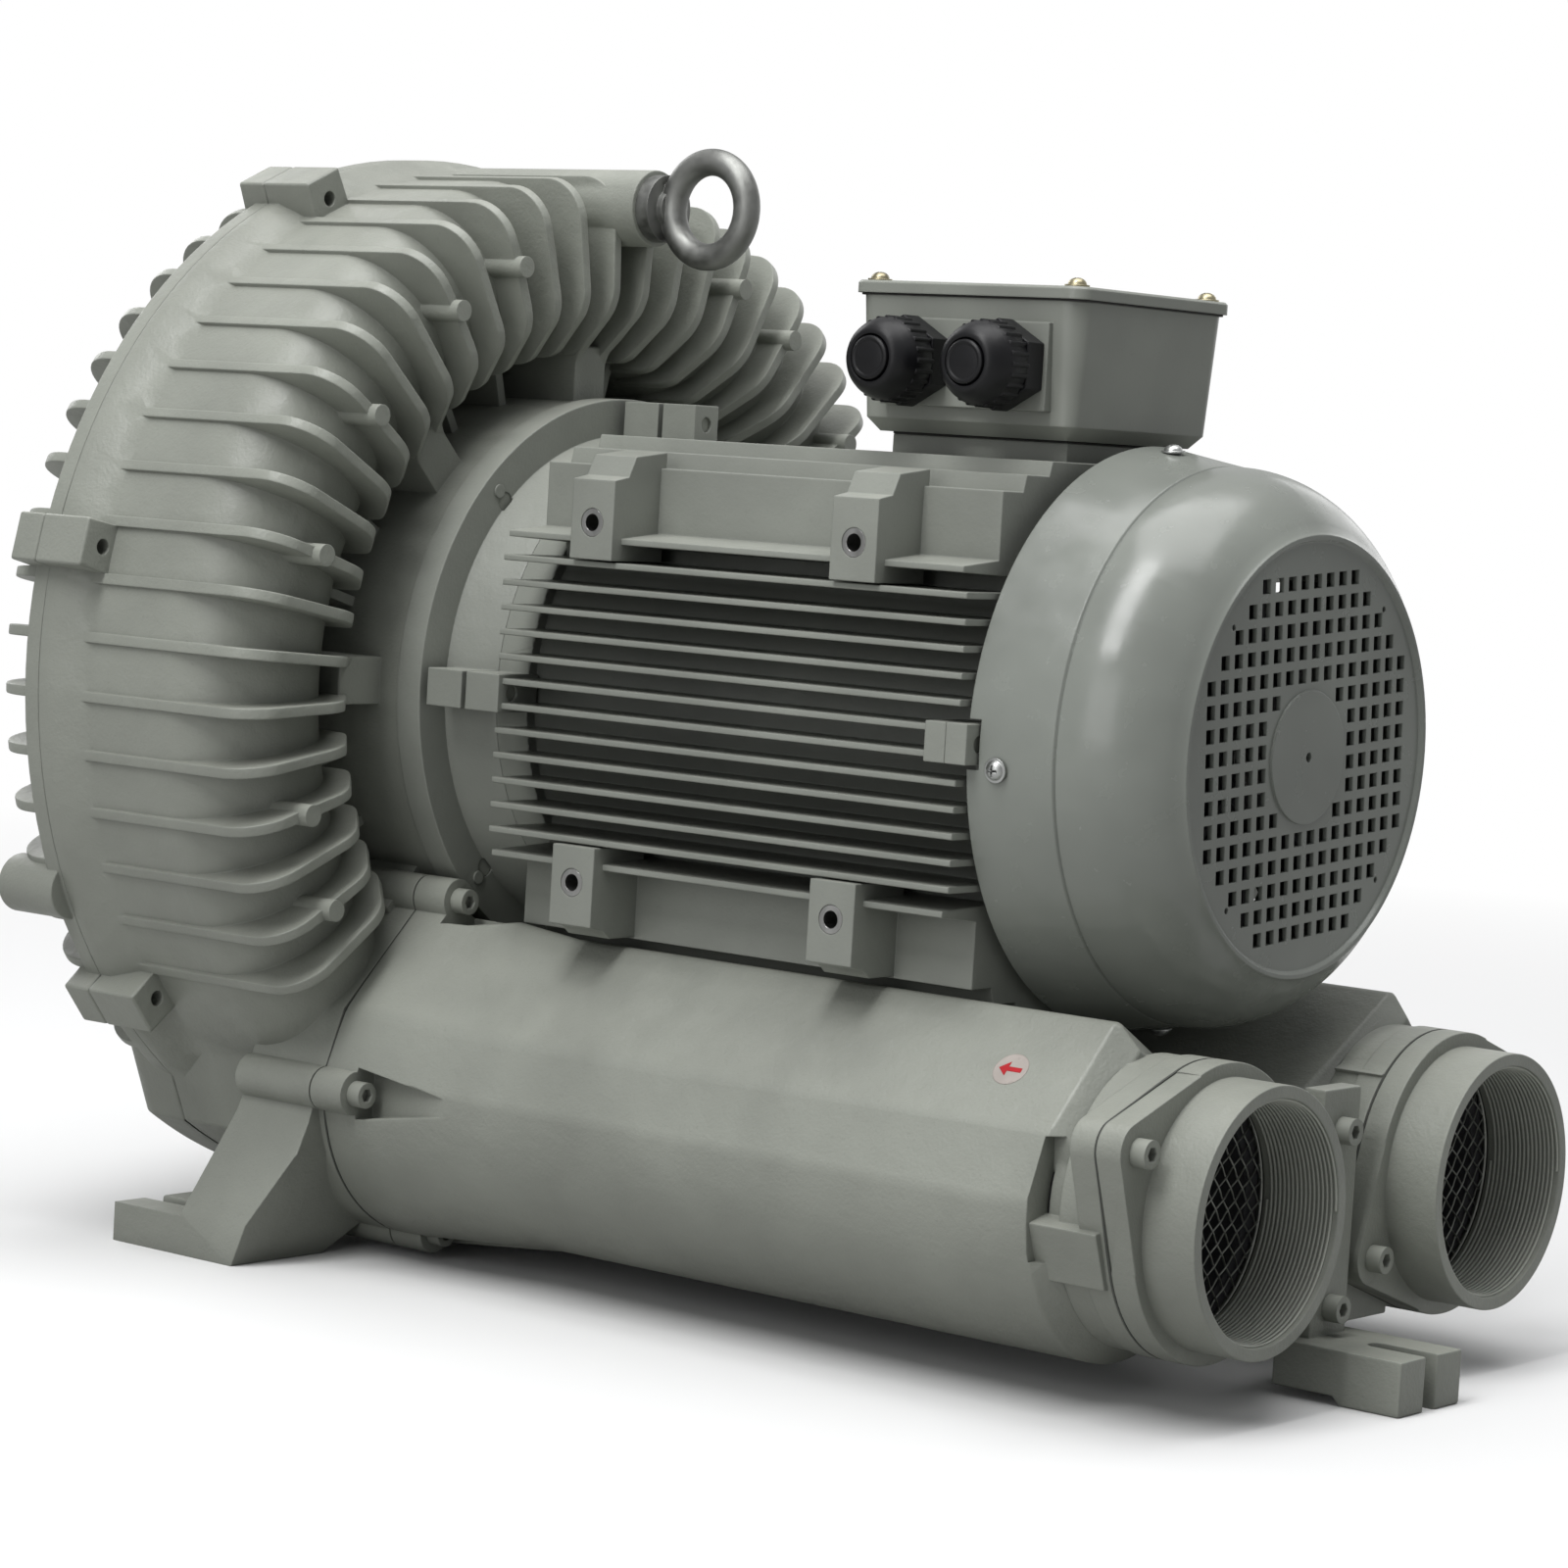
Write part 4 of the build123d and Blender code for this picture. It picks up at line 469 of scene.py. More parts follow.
def on_a_ridge(side):
    """Tell the long ridges of one silencer by their direction and place."""
    def chosen(edge):
        run = edge.verts[1].co - edge.verts[0].co
        middle = (edge.verts[0].co + edge.verts[1].co) / 2
        outward = (middle.x * side - port_x) / millimetre
        upward = (middle.z - port_height) / millimetre
        for u, w in ridge_corners:
            share = math.hypot(outward, upward) / math.hypot(u, w)
            off = math.hypot(outward - u * share, upward - w * share)
            if 0.8 < share < 1.13 and off < 1.5 and abs(run.y) > 0.7 * run.length:
                return run.length > ridge_length
        return False
    return chosen


def recess_web(side):
    """Curved wall between the recess and the bore, as a closed block in the casting."""
    angles = [math.radians(-web_half_angle + 2 * web_half_angle * k / web_steps)
              for k in range(web_steps + 1)]

    def add(shape):
        rows = []
        for y in web_ends:
            for radius in (web_inner, web_outer):
                rows.append([shape.verts.new((side * (port_x + radius * math.cos(angle)), y,
                                              port_height + radius * math.sin(angle)))
                             for angle in angles])
        order = (0, 1, 3, 2)
        for k in range(web_steps):
            for first, second in zip(order, order[1:] + order[:1]):
                shape.faces.new((rows[first][k], rows[first][k + 1],
                                 rows[second][k + 1], rows[second][k]))
        for k in (0, web_steps):
            shape.faces.new([rows[i][k] for i in order])
        new_faces = {face for row in rows for corner in row for face in corner.link_faces}
        bmesh.ops.recalc_face_normals(shape, faces=list(new_faces))
    return add


for name, side in (("silencer_left", -1), ("silencer_right", 1)):
    soften(name, 1.2 * millimetre, first=recess_web(side),
           extra=((5.0 * millimetre, on_a_ridge(side)),))
for name, width in (("rear_foot", 1.6),
                    ("motor_frame", 0.6), ("drive_end_flange", 0.7), ("rear_end_shield", 0.6),
                    ("fan_cowl", 0.25), ("terminal_box", 0.6), ("terminal_lid", 0.8),
                    ("lifting_eyebolt", 0.8), ("port_bolts", 0.5), ("silencer_bolts", 0.5),
                    ("cover_bolts", 0.5), ("rear_foot_bolts", 0.5), ("foot_inserts", 0.4),
                    ("gland_bodies", 0.8), ("cooling_fan", 0.5)):
    soften(name, width * millimetre)

# %% [markdown]
# Screws, wires, ribs and threads repeat, so Geometry Nodes make them. Each tree gets named
# inputs for its sizes. A helper adds the tree's inputs, another ends it with Realize Instances
# and Set Material, and a third runs it once and keeps the result as a plain mesh.


# %% Growth helpers
def new_growth(name, sizes):
    """Geometry tree with one named input for each size; returns the tree and its inputs."""
    tree = bpy.data.node_groups.new(name, "GeometryNodeTree")
    tree.interface.new_socket("Geometry", in_out="OUTPUT", socket_type="NodeSocketGeometry")
    tree.interface.new_socket("Seed", in_out="INPUT", socket_type="NodeSocketGeometry")
    for label, value in sizes.items():
        kind = "NodeSocketInt" if isinstance(value, int) else "NodeSocketFloat"
        tree.interface.new_socket(label, in_out="INPUT", socket_type=kind)
    return tree, tree.nodes.new("NodeGroupInput").outputs


def end_growth(tree, geometry, finish):
    """Turn instances into mesh, set the finish and lead to the output."""
    whole = put(tree, "GeometryNodeRealizeInstances", Geometry=geometry)
    painted = put(tree, "GeometryNodeSetMaterial", Geometry=whole.outputs[0], Material=finish)
    tree.links.new(painted.outputs[0], tree.nodes.new("NodeGroupOutput").inputs[0])


def grow(tree, sizes, seed=None):
    """Run a tree on a seed mesh, set its sizes by socket identifier, keep a plain mesh."""
    holder = bpy.data.objects.new("seed", seed or bpy.data.meshes.new("seed"))
    bpy.context.collection.objects.link(holder)
    growth = holder.modifiers.new("growth", "NODES")
    growth.node_group = tree
    for item in tree.interface.items_tree:
        if item.in_out == "INPUT" and item.name in sizes:
            growth[item.identifier] = sizes[item.name]
    evaluated = holder.evaluated_get(bpy.context.evaluated_depsgraph_get())
    mesh = bpy.data.meshes.new_from_object(evaluated)
    bpy.data.objects.remove(holder)
    return mesh


def sum_of(tree, way, first, second):
    """One Math node."""
    return put(tree, "ShaderNodeMath", {"operation": way}, i0=first, i1=second).outputs[0]


def vector_of(tree, x=0.0, y=0.0, z=0.0):
    """One Combine XYZ node."""
    return put(tree, "ShaderNodeCombineXYZ", i0=x, i1=y, i2=z).outputs[0]


def solids_of(name):
    """Centre, lowest and highest corner of each separate solid in a node, in a fixed order."""
    shape = joined_copy(name)
    waiting = set(shape.verts)
    boxes = []
    while waiting:
        group = [waiting.pop()]
        for corner in group:
            for edge in corner.link_edges:
                other = edge.other_vert(corner)
                if other in waiting:
                    waiting.remove(other)
                    group.append(other)
        low = Vector([min(corner.co[i] for corner in group) for i in range(3)])
        high = Vector([max(corner.co[i] for corner in group) for i in range(3)])
        boxes.append(((low + high) / 2, low, high))
    shape.free()
    return sorted(boxes, key=lambda box: tuple(round(value, 5) for value in box[0]))


# %% [markdown]
# The lid and the cowl are held by pan-head screws with a cross recess. On the lid each sits on
# a washer. The head is a flattened ball with two crossed slots cut out of it. It is drawn once
# in the tree and put on each point of a seed mesh, turned to the direction stored there.


# %% Pan-head screws
def seats_mesh(seats):
    """Seed mesh with a point and an outward direction for each screw."""
    mesh = bpy.data.meshes.new("seats")
    mesh.from_pydata([place for place, _ in seats], [], [])
    outward = mesh.attributes.new("outward", "FLOAT_VECTOR", "POINT")
    for index, (_, direction) in enumerate(seats):
        outward.data[index].vector = direction
    return mesh


pan_sizes = {"Head Radius": 0.0046, "Head Height": 0.0034, "Washer Radius": 0.006,
             "Washer Height": 0.001, "Shank Radius": 0.0024, "Shank Length": 0.018,
             "Slot Width": 0.0011, "Slot Length": 0.0054}


def pan_screw_tree(finish):
    """Tree that puts a washer and a cross-recess pan-head screw on each seed point."""
    tree, size = new_growth("pan_screw", pan_sizes)
    shape = vector_of(tree, size["Head Radius"], size["Head Radius"], size["Head Height"])
    ball = put(tree, "GeometryNodeMeshUVSphere", Segments=24, Rings=14, Radius=1.0)
    head = put(tree, "GeometryNodeTransform", Geometry=ball.outputs[0], Scale=shape,
               Translation=vector_of(tree, z=size["Washer Height"]))
    top = sum_of(tree, "ADD", size["Washer Height"], size["Head Height"])
    cutters = []
    for x, y in (("Slot Length", "Slot Width"), ("Slot Width", "Slot Length")):
        bar = put(tree, "GeometryNodeMeshCube", Size=vector_of(tree, size[x], size[y],
                                                              size["Head Height"]))
        cutters.append(put(tree, "GeometryNodeTransform", Geometry=bar.outputs[0],
                           Translation=vector_of(tree, z=top)))
    cross = put(tree, "GeometryNodeMeshBoolean", {"operation": "UNION"})
    for cutter in cutters:
        tree.links.new(cutter.outputs[0], cross.inputs["Mesh 2"])
    recessed = put(tree, "GeometryNodeMeshBoolean", {"operation": "DIFFERENCE"},
                   Mesh_1=head.outputs[0], Mesh_2=cross.outputs[0])
    washer = put(tree, "GeometryNodeMeshCylinder", Vertices=32, Radius=size["Washer Radius"],
                 Depth=size["Washer Height"])
    lifted = put(tree, "GeometryNodeTransform", Geometry=washer.outputs[0],
                 Translation=vector_of(tree, z=sum_of(tree, "MULTIPLY",
                                                      size["Washer Height"], 0.5)))
    shank = put(tree, "GeometryNodeMeshCylinder", Vertices=16, Radius=size["Shank Radius"],
                Depth=size["Shank Length"])
    sunk = put(tree, "GeometryNodeTransform", Geometry=shank.outputs[0],
               Translation=vector_of(tree, z=sum_of(tree, "MULTIPLY",
                                                    size["Shank Length"], -0.5)))
    screw = put(tree, "GeometryNodeJoinGeometry")
    for piece in (recessed, lifted, sunk):
        tree.links.new(piece.outputs[0], screw.inputs[0])
    points = put(tree, "GeometryNodeMeshToPoints", Mesh=size["Seed"])
    outward = put(tree, "GeometryNodeInputNamedAttribute", {"data_type": "FLOAT_VECTOR"},
                  Name="outward")
    turned = put(tree, "FunctionNodeAlignRotationToVector", {"axis": "Z"},
                 Vector=outward.outputs[0])
    placed = put(tree, "GeometryNodeInstanceOnPoints", Points=points.outputs[0],
                 Instance=screw.outputs[0], Rotation=turned.outputs[0])
    end_growth(tree, placed.outputs[0], finish)
    return tree


def pan_screws(name, finish, seats, **changes):
    """Replace a node of screws with better ones on the same seats."""
    sizes = {**pan_sizes, **{key.replace("_", " "): value for key, value in changes.items()}}
    mesh = grow(pan_screw_tree(finish), sizes, seats_mesh(seats))
    shape = bmesh.new()
    shape.from_mesh(mesh)
    shade_smooth(shape, 40)
    piece = place_piece(shape, name + "_pan", finish, body_of(name))
    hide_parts(name)
    print(name, "screws", len(seats), "faces", len(piece.data.polygons))


lid_head_height, cowl_head_height = 4.4 * millimetre, 4 * millimetre
lid_seats = [(Vector((centre.x, centre.y, high.z - lid_head_height)), Vector((0, 0, 1)))
             for centre, _, high in solids_of("lid_screws")]
pan_screws("lid_screws", yellow_zinc, lid_seats)

motor_axis = Vector((0, 0, axis_height))
cowl_seats = []
for centre, low, high in solids_of("cowl_screws"):
    reach = Vector((centre.x, 0, centre.z - axis_height))
    direction = reach.normalized()
    far = max(abs(low.x), abs(high.x), abs(low.z - axis_height), abs(high.z - axis_height))
    tilt = 1 / max(abs(direction.x), abs(direction.z))
    seat = motor_axis + Vector((0, centre.y, 0)) + direction * (far * tilt - cowl_head_height)
    cowl_seats.append((seat, direction))
pan_screws("cowl_screws", zinc_plate, cowl_seats, Washer_Radius=0.0058, Washer_Height=0.0008,
           Head_Height=0.003, Shank_Length=0.014)

# %% [markdown]
# A strainer behind each port keeps rubbish out of the wheel. It is woven: every wire goes over
# one and under the next. If both families of wires lie along whole steps of the same pitch, a
# product of two cosines lifts one family exactly where it lowers the other.

# %% Woven strainers
screen_sizes = {"Pitch": 0.0072, "Wire Radius": 0.0005, "Mesh Radius": 0.0585, "Wires": 17,
                "Lift": 0.0003, "Ring Middle": 0.061, "Ring Width": 0.0078,
                "Ring Height": 0.0028}


def woven_tree(finish):
    """Tree that weaves two families of wires and trims them to a round frame."""
    tree, size = new_growth("woven_screen", screen_sizes)
    half = sum_of(tree, "MULTIPLY", sum_of(tree, "SUBTRACT", size["Wires"], 1), -0.5)
    start = sum_of(tree, "MULTIPLY", half, size["Pitch"])
    row = put(tree, "GeometryNodeMeshLine", Count=size["Wires"],
              Start_Location=vector_of(tree, x=start), Offset=vector_of(tree, x=size["Pitch"]))
    back = sum_of(tree, "MULTIPLY", size["Mesh Radius"], -1)
    line = put(tree, "GeometryNodeCurvePrimitiveLine", Start=vector_of(tree, y=back),
               End=vector_of(tree, y=size["Mesh Radius"]))
    fine = put(tree, "GeometryNodeResampleCurve", Curve=line.outputs[0], Count=81)
    wires = put(tree, "GeometryNodeInstanceOnPoints", Points=row.outputs[0],
                Instance=fine.outputs[0])
    flat = put(tree, "GeometryNodeRealizeInstances", Geometry=wires.outputs[0])
    crossed = put(tree, "GeometryNodeTransform", Geometry=flat.outputs[0],
                  Rotation=(0, 0, math.pi / 2))
    place = put(tree, "GeometryNodeInputPosition")
    split = put(tree, "ShaderNodeSeparateXYZ", i0=place.outputs[0])
    step = sum_of(tree, "DIVIDE", math.pi, size["Pitch"])
    waves = [put(tree, "ShaderNodeMath", {"operation": "COSINE"},
                 i0=sum_of(tree, "MULTIPLY", split.outputs[axis], step)).outputs[0]
             for axis in (0, 1)]
    wave = sum_of(tree, "MULTIPLY", sum_of(tree, "MULTIPLY", waves[0], waves[1]), size["Lift"])
    reach = put(tree, "ShaderNodeVectorMath", {"operation": "LENGTH"}, i0=place.outputs[0])
    outside = put(tree, "FunctionNodeCompare", {"operation": "GREATER_THAN"},
                  A=reach.outputs["Value"], B=size["Mesh Radius"])
    section = put(tree, "GeometryNodeCurvePrimitiveCircle", Resolution=6,
                  Radius=size["Wire Radius"])
    whole = put(tree, "GeometryNodeJoinGeometry")
    for family, sign in ((flat, 1), (crossed, -1)):
        lifted = put(tree, "GeometryNodeSetPosition", Geometry=family.outputs[0],
                     Offset=vector_of(tree, z=sum_of(tree, "MULTIPLY", wave, sign)))
        trimmed = put(tree, "GeometryNodeDeleteGeometry", {"domain": "POINT"},
                      Geometry=lifted.outputs[0], Selection=outside.outputs[0])
        thick = put(tree, "GeometryNodeCurveToMesh", Curve=trimmed.outputs[0],
                    Profile_Curve=section.outputs[0], Fill_Caps=True)
        tree.links.new(thick.outputs[0], whole.inputs[0])
    hoop = put(tree, "GeometryNodeCurvePrimitiveCircle", Resolution=96,
               Radius=size["Ring Middle"])
    bar = put(tree, "GeometryNodeCurvePrimitiveQuadrilateral", Width=size["Ring Width"],
              Height=size["Ring Height"])
    rim = put(tree, "GeometryNodeCurveToMesh", Curve=hoop.outputs[0],
              Profile_Curve=bar.outputs[0])
    tree.links.new(rim.outputs[0], whole.inputs[0])
    end_growth(tree, whole.outputs[0], finish)
    return tree


weave = woven_tree(screen_wire)
for side, turn in (("left", 38), ("right", 52)):
    name = "port_screen_" + side
    low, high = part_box(name)
    mesh = grow(weave, screen_sizes)
    mesh.transform(Matrix.Translation((low + high) / 2) @ Matrix.Rotation(math.pi / 2, 4, "X")
                   @ Matrix.Rotation(math.radians(turn), 4, "Z"))
    piece = place_piece(mesh, name + "_woven", screen_wire, body_of(name))
    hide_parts(name)
    print(name, "faces", len(mesh.polygons))

# %% [markdown]
# The ports end in a pipe thread. The flange copies get a bore as wide as the thread's root, and
# a thin round ridge is laid along a spiral so that its crest is at the bore that the frame has.

# %% Pipe threads
thread_depth = 38.2 * millimetre         # from the port's mouth to the thread's inner end
thread_sizes = {"Turns": 16.0, "Pitch": 0.00231, "Path Radius": 0.0558, "Ridge Radius": 0.0006}


def thread_tree(finish):
    """Tree that sweeps a small round ridge along a spiral."""
    tree, size = new_growth("pipe_thread", thread_sizes)
    length = sum_of(tree, "MULTIPLY", size["Turns"], size["Pitch"])
    spiral = put(tree, "GeometryNodeCurveSpiral", Resolution=64, Rotations=size["Turns"],
                 Start_Radius=size["Path Radius"], End_Radius=size["Path Radius"],
                 Height=length)
    ridge = put(tree, "GeometryNodeCurvePrimitiveCircle", Resolution=6,
                Radius=size["Ridge Radius"])
    swept = put(tree, "GeometryNodeCurveToMesh", Curve=spiral.outputs[0],
                Profile_Curve=ridge.outputs[0], Fill_Caps=True)
    end_growth(tree, swept.outputs[0], finish)
    return tree


# The thread wears the paler bore paint, which is painted light inside the bore.
threads = thread_tree(lit_bore_grey)
for side in ("left", "right"):
    low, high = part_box("port_flange_" + side)
    axis_x = port_x if side == "right" else -port_x
    mesh = grow(threads, thread_sizes)
    mesh.transform(Matrix.Translation((axis_x, low.y + thread_depth, port_height))
                   @ Matrix.Rotation(math.pi / 2, 4, "X"))
    for face in mesh.polygons:
        face.use_smooth = True
    place_piece(mesh, "port_thread_" + side, lit_bore_grey, "casing")
    print("port thread", side, "faces", len(mesh.polygons))

# %% [markdown]
# A cable gland is closed by a cap nut with a grip of shallow ribs and a domed nose, and an
# unused one holds a round plug. The dome is a profile turned about the gland's axis, and the
# tree puts the ribs round it.


# %% Cable glands
def turned_mesh(profile, segments):
    """Closed solid from (radius, distance) corners turned about the Z axis."""
    shape = bmesh.new()
    corners = [shape.verts.new((radius, 0, along)) for radius, along in profile]
    edges = [shape.edges.new(pair) for pair in zip(corners, corners[1:] + corners[:1])]
    bmesh.ops.spin(shape, geom=corners + edges, cent=(0, 0, 0), axis=(0, 0, 1),
                   angle=2 * math.pi, steps=segments, use_merge=True)
    bmesh.ops.remove_doubles(shape, verts=shape.verts, dist=0.001 * millimetre)
    bmesh.ops.recalc_face_normals(shape, faces=shape.faces)
    return shape


def in_millimetres(points):
    """Points in metres from points in millimetres."""
    return [(radius * millimetre, along * millimetre) for radius, along in points]


rib_sizes = {"Ribs": 24, "Circle Radius": 0.0196, "Rib Length": 0.0125, "Rib Radius": 0.0012,
             "Rib Start": 0.0}


def ribbed_tree(finish):
    """Tree that sets straight round ribs about the seed's axis."""
    tree, size = new_growth("ribbed_grip", rib_sizes)
    circle = put(tree, "GeometryNodeMeshCircle", Vertices=size["Ribs"],
                 Radius=size["Circle Radius"])
    rib = put(tree, "GeometryNodeMeshCylinder", Vertices=8, Radius=size["Rib Radius"],
              Depth=size["Rib Length"])
    ribs = put(tree, "GeometryNodeInstanceOnPoints", Points=circle.outputs[0],
               Instance=rib.outputs[0])
    half = sum_of(tree, "MULTIPLY", size["Rib Length"], 0.5)
    raised = put(tree, "GeometryNodeTransform", Geometry=ribs.outputs[0],
                 Translation=vector_of(tree, z=sum_of(tree, "ADD", half, size["Rib Start"])))
    whole = put(tree, "GeometryNodeJoinGeometry")
    for piece in (size["Seed"], raised.outputs[0]):
        tree.links.new(piece, whole.inputs[0])
    end_growth(tree, whole.outputs[0], finish)
    return tree


nut_profile = in_millimetres([(14.2, 0.0), (19.4, 0.0), (20.0, 0.8), (20.0, 12.6), (19.4, 14.2),
                              (18.6, 17.0), (17.2, 19.8), (15.4, 22.2), (13.9, 23.5),
                              (12.6, 24.0), (11.6, 23.9), (11.1, 23.2), (11.1, 21.0),
                              (14.2, 20.5)])
plug_profile = in_millimetres([(0.0, -16.0), (10.6, -16.0), (10.6, 23.6), (10.4, 24.6),
                               (9.4, 25.2), (8.6, 25.1), (8.1, 24.7), (7.4, 24.9),
                               (0.0, 25.4)])
grip = ribbed_tree(black_nylon)
for node, profile, ribs in (("gland_nuts", nut_profile, True),
                            ("gland_plugs", plug_profile, False)):
    whole = bmesh.new()
    for centre, low, high in solids_of("gland_nuts"):
        mesh = bpy.data.meshes.new("turned")
        turned_mesh(profile, 48).to_mesh(mesh)
        if ribs:
            mesh = grow(grip, rib_sizes, mesh)
        mesh.transform(Matrix.Translation((high.x, centre.y, centre.z))
                       @ Matrix.Rotation(-math.pi / 2, 4, "Y"))
        whole.from_mesh(mesh)
    shade_smooth(whole, 38)
    piece = place_piece(whole, node + "_moulded", black_nylon, body_of(node))
    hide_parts(node)
    print(node, "faces", len(piece.data.polygons))

# %% [markdown]
# A round sticker on the left silencer carries a plain red arrow. It would be printed on clear
# film, so the disc is only a little paler than the paint. Disc and arrow are thin plates cut to
# their outlines and laid on the slanting face. Four small round bolt ends stand on the motor
# flange, and the same helper makes them.

# %% Flow arrow and bolt ends
clear_film = moulded("clear_film", chart(168, 160, 154), 0.25)
red_print = moulded("red_print", chart(176, 24, 34), 0.3)
sticker_place = Vector((-0.1461, -0.2090, 0.1504))
sticker_out = Vector((-1, 0, 1)).normalized()
sticker_radius, film_thickness, ink_thickness = (9.0 * millimetre, 0.15 * millimetre,
                                                 0.08 * millimetre)
arrow_outline = in_millimetres([(6.5, 0), (1.5, 4.2), (1.5, 1.3), (-6, 1.3), (-6, -1.3),
                                (1.5, -1.3), (1.5, -4.2)])
flange_thickness, bolt_end_circle = 0.0158, 0.140
bolt_end_radius, bolt_end_height = 3.5 * millimetre, 1.0 * millimetre


def flat_plate(name, outline, place, outward, along, thickness, finish, body):
    """Thin plate with an outline in metres, laid on a face."""
    across = outward.cross(along)
    shape = bmesh.new()
    corners = [shape.verts.new(place + along * x + across * y) for x, y in outline]
    face = shape.faces.new(corners)
    grown = bmesh.ops.extrude_face_region(shape, geom=[face])
    moved = [part for part in grown["geom"] if isinstance(part, bmesh.types.BMVert)]
    bmesh.ops.translate(shape, verts=moved, vec=outward * thickness)
    bmesh.ops.recalc_face_normals(shape, faces=list(shape.faces))
    return place_piece(shape, name, finish, body)


def circle_outline(radius, count=40):
    """Corners of a round plate."""
    return [(radius * math.cos(math.tau * k / count), radius * math.sin(math.tau * k / count))
            for k in range(count)]


forward = Vector((0, -1, 0))
flat_plate("flow_sticker", circle_outline(sticker_radius), sticker_place, sticker_out, forward,
           film_thickness, clear_film, "casing")
flat_plate("flow_arrow", arrow_outline, sticker_place + sticker_out * film_thickness,
           sticker_out, -forward, ink_thickness, red_print, "casing")
for number in range(4):
    angle = math.radians(45 + 90 * number)
    flat_plate("flange_bolt_end_%d" % (number + 1), circle_outline(bolt_end_radius, 24),
               Vector((bolt_end_circle * math.cos(angle), flange_y - flange_thickness,
                       axis_height + bolt_end_circle * math.sin(angle))),
               forward, Vector((1, 0, 0)), bolt_end_height, frame_grey,
               body_of("drive_end_flange"))
print("flow arrow and bolt ends placed")

# %% [markdown]
# The floor is a wide plain sheet. Far from the machine it fades to the white of the
# background, so that no horizon shows, and close by it is pale and matt and keeps the shadow.
# The light that it throws back up on the machine is that of a duller floor, so that undersides
# stay dark, and mirrored rays see only a part of the white, so that paint keeps its depth.

# %% Floor
floor_half = 40.0
fade_start, fade_end = 0.9, 2.6
floor_bounce, floor_seen = (0.36, 0.36, 0.35, 1), (0.84, 0.84, 0.84, 1)
mirrored_share = 0.34
sheet = bpy.data.meshes.new("floor")
corners = [(-floor_half, -floor_half, 0), (floor_half, -floor_half, 0),
           (floor_half, floor_half, 0), (-floor_half, floor_half, 0)]
sheet.from_pydata(corners, [], [(0, 1, 2, 3)])
floor = bpy.data.objects.new("floor", sheet)
bpy.context.collection.objects.link(floor)


def seen_share(tree):
    """Full for rays from the camera, and a part of it for mirrored ones."""
    path = put(tree, "ShaderNodeLightPath")
    mirrored = put(tree, "ShaderNodeMath", {"operation": "MULTIPLY"},
                   i0=path.outputs["Is Glossy Ray"], i1=mirrored_share).outputs[0]
    return put(tree, "ShaderNodeMath", {"operation": "MAXIMUM"},
               i0=path.outputs["Is Camera Ray"], i1=mirrored).outputs[0]


floor_white, tree, shader = new_finish("floor_white")
shader.inputs["Roughness"].default_value = 0.9
place = put(tree, "ShaderNodeTexCoord")
reach = put(tree, "ShaderNodeVectorMath", {"operation": "LENGTH"}, i0=place.outputs["Object"])
fade = remap(tree, reach.outputs["Value"], fade_start, fade_end, 0, 1)
seen = seen_share(tree)
tree.links.new(blend_colours(tree, seen, floor_bounce, floor_seen),
               shader.inputs["Base Color"])
share = put(tree, "ShaderNodeMath", {"operation": "MULTIPLY"}, i0=seen, i1=fade).outputs[0]
white = put(tree, "ShaderNodeEmission", Color=(1, 1, 1, 1), Strength=1.0)
mixed = put(tree, "ShaderNodeMixShader", i0=share, i1=shader.outputs[0], i2=white.outputs[0])
tree.links.new(mixed.outputs[0], tree.nodes["Material Output"].inputs["Surface"])
sheet.materials.append(floor_white)

# %% [markdown]
# The key lamp is a long soft one, high on the viewer's left, and a wide one hangs overhead. A
# weaker one on the left lights the sides, and two more, behind and on the right, keep the far
# side from going black. The world gives the room's dim light, and shows as plain white to the
# camera.

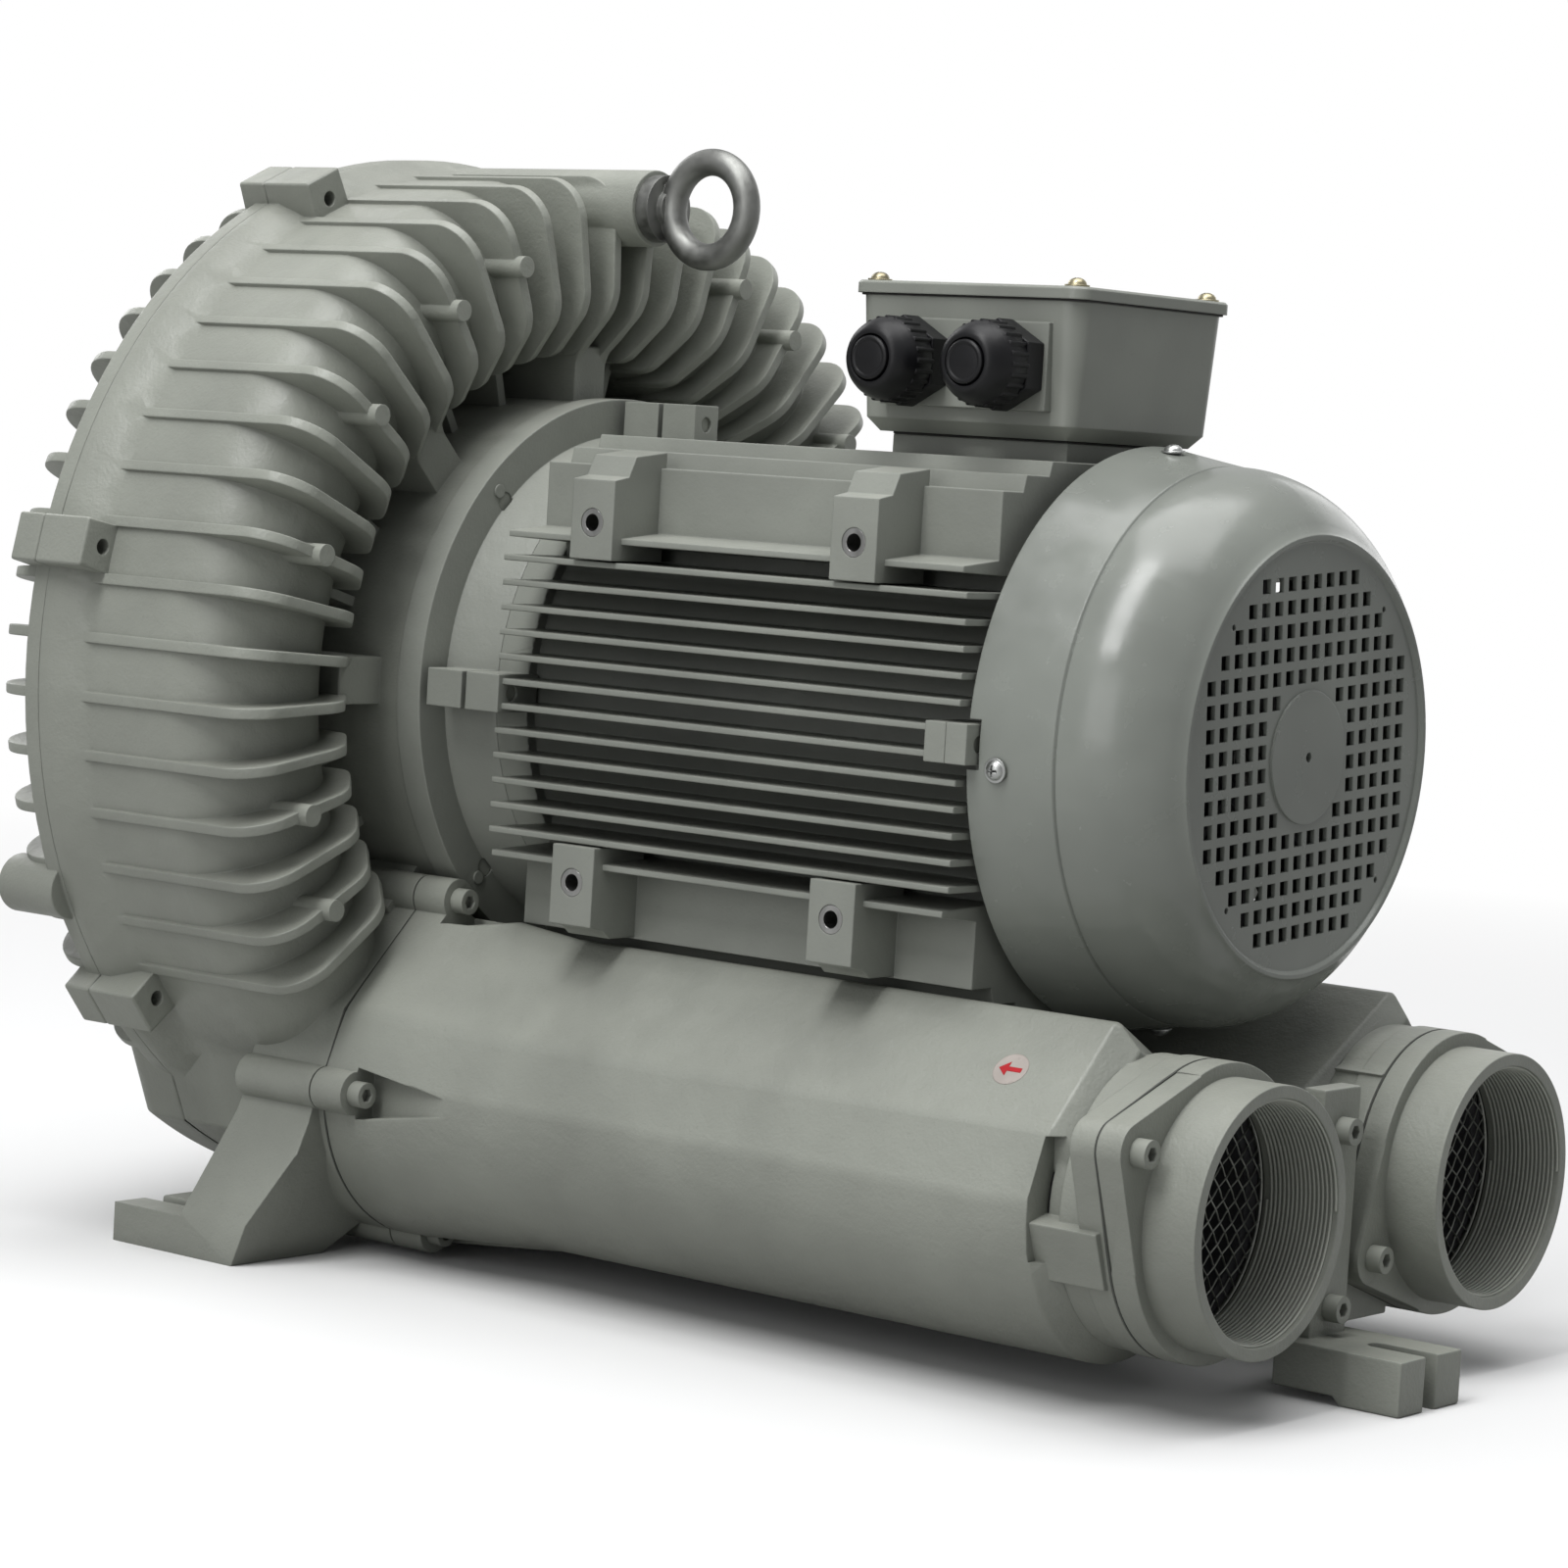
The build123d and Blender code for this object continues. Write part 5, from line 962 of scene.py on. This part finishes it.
# %% Light
world = bpy.data.worlds.new("studio")
bpy.context.scene.world = world
world.use_nodes = True
tree = world.node_tree
room = tree.nodes["Background"]
room.inputs["Color"].default_value = (0.95, 0.97, 1.0, 1)
room.inputs["Strength"].default_value = 0.22
seen = seen_share(tree)
white = put(tree, "ShaderNodeBackground", Color=(1, 1, 1, 1), Strength=1.0)
mixed = put(tree, "ShaderNodeMixShader", i0=seen, i1=room.outputs[0], i2=white.outputs[0])
tree.links.new(mixed.outputs[0], tree.nodes["World Output"].inputs["Surface"])


aim_height = 0.3


def soft_lamp(name, place, width, height, power):
    """Oblong lamp aimed at the middle of the machine, its width level and across the axis."""
    lamp = bpy.data.lights.new(name, "AREA")
    lamp.shape = "RECTANGLE"
    lamp.size, lamp.size_y, lamp.energy = width, height, power
    holder = bpy.data.objects.new(name, lamp)
    bpy.context.collection.objects.link(holder)
    holder.location = place
    aim = Vector((0, 0, aim_height)) - Vector(place)
    holder.rotation_euler = aim.to_track_quat("-Z", "Y").to_euler()


soft_lamp("key", (-1.75, -0.1, 2.75), 0.9, 2.2, 62)
soft_lamp("roof", (0.15, -0.2, 3.1), 2.4, 2.4, 58)
soft_lamp("side", (-2.75, -0.4, 0.9), 1.4, 1.4, 12)
soft_lamp("rear", (0.9, 3.1, 1.6), 1.6, 1.6, 22)
soft_lamp("far side", (3.0, 0.2, 1.1), 1.6, 1.6, 9)

# %% [markdown]
# The camera stands to the left of the ports and looks along the motor. It is a long lens far
# away, so that edges along the machine stay nearly parallel.

# %% Camera
camera_place = (-1.7978, -1.3769, 0.4252)
camera_right = Vector((0.6235, -0.7795, 0.0603))
camera_up = Vector((0.0210, 0.0937, 0.9954))
camera_back = Vector((-0.7815, -0.6193, 0.0748))
focal_pixels = 4578.2
image_pixels = 1600
sensor = 36.0
lens = bpy.data.cameras.new("camera")
lens.sensor_width = sensor
lens.lens = sensor * focal_pixels / image_pixels
camera = bpy.data.objects.new("camera", lens)
bpy.context.collection.objects.link(camera)
turn = Matrix((camera_right, camera_up, camera_back)).transposed()
camera.rotation_euler = turn.to_euler()
camera.location = camera_place
bpy.context.scene.camera = camera
bpy.context.scene.view_settings.view_transform = "Standard"
print("lens in millimetres", round(lens.lens, 1))
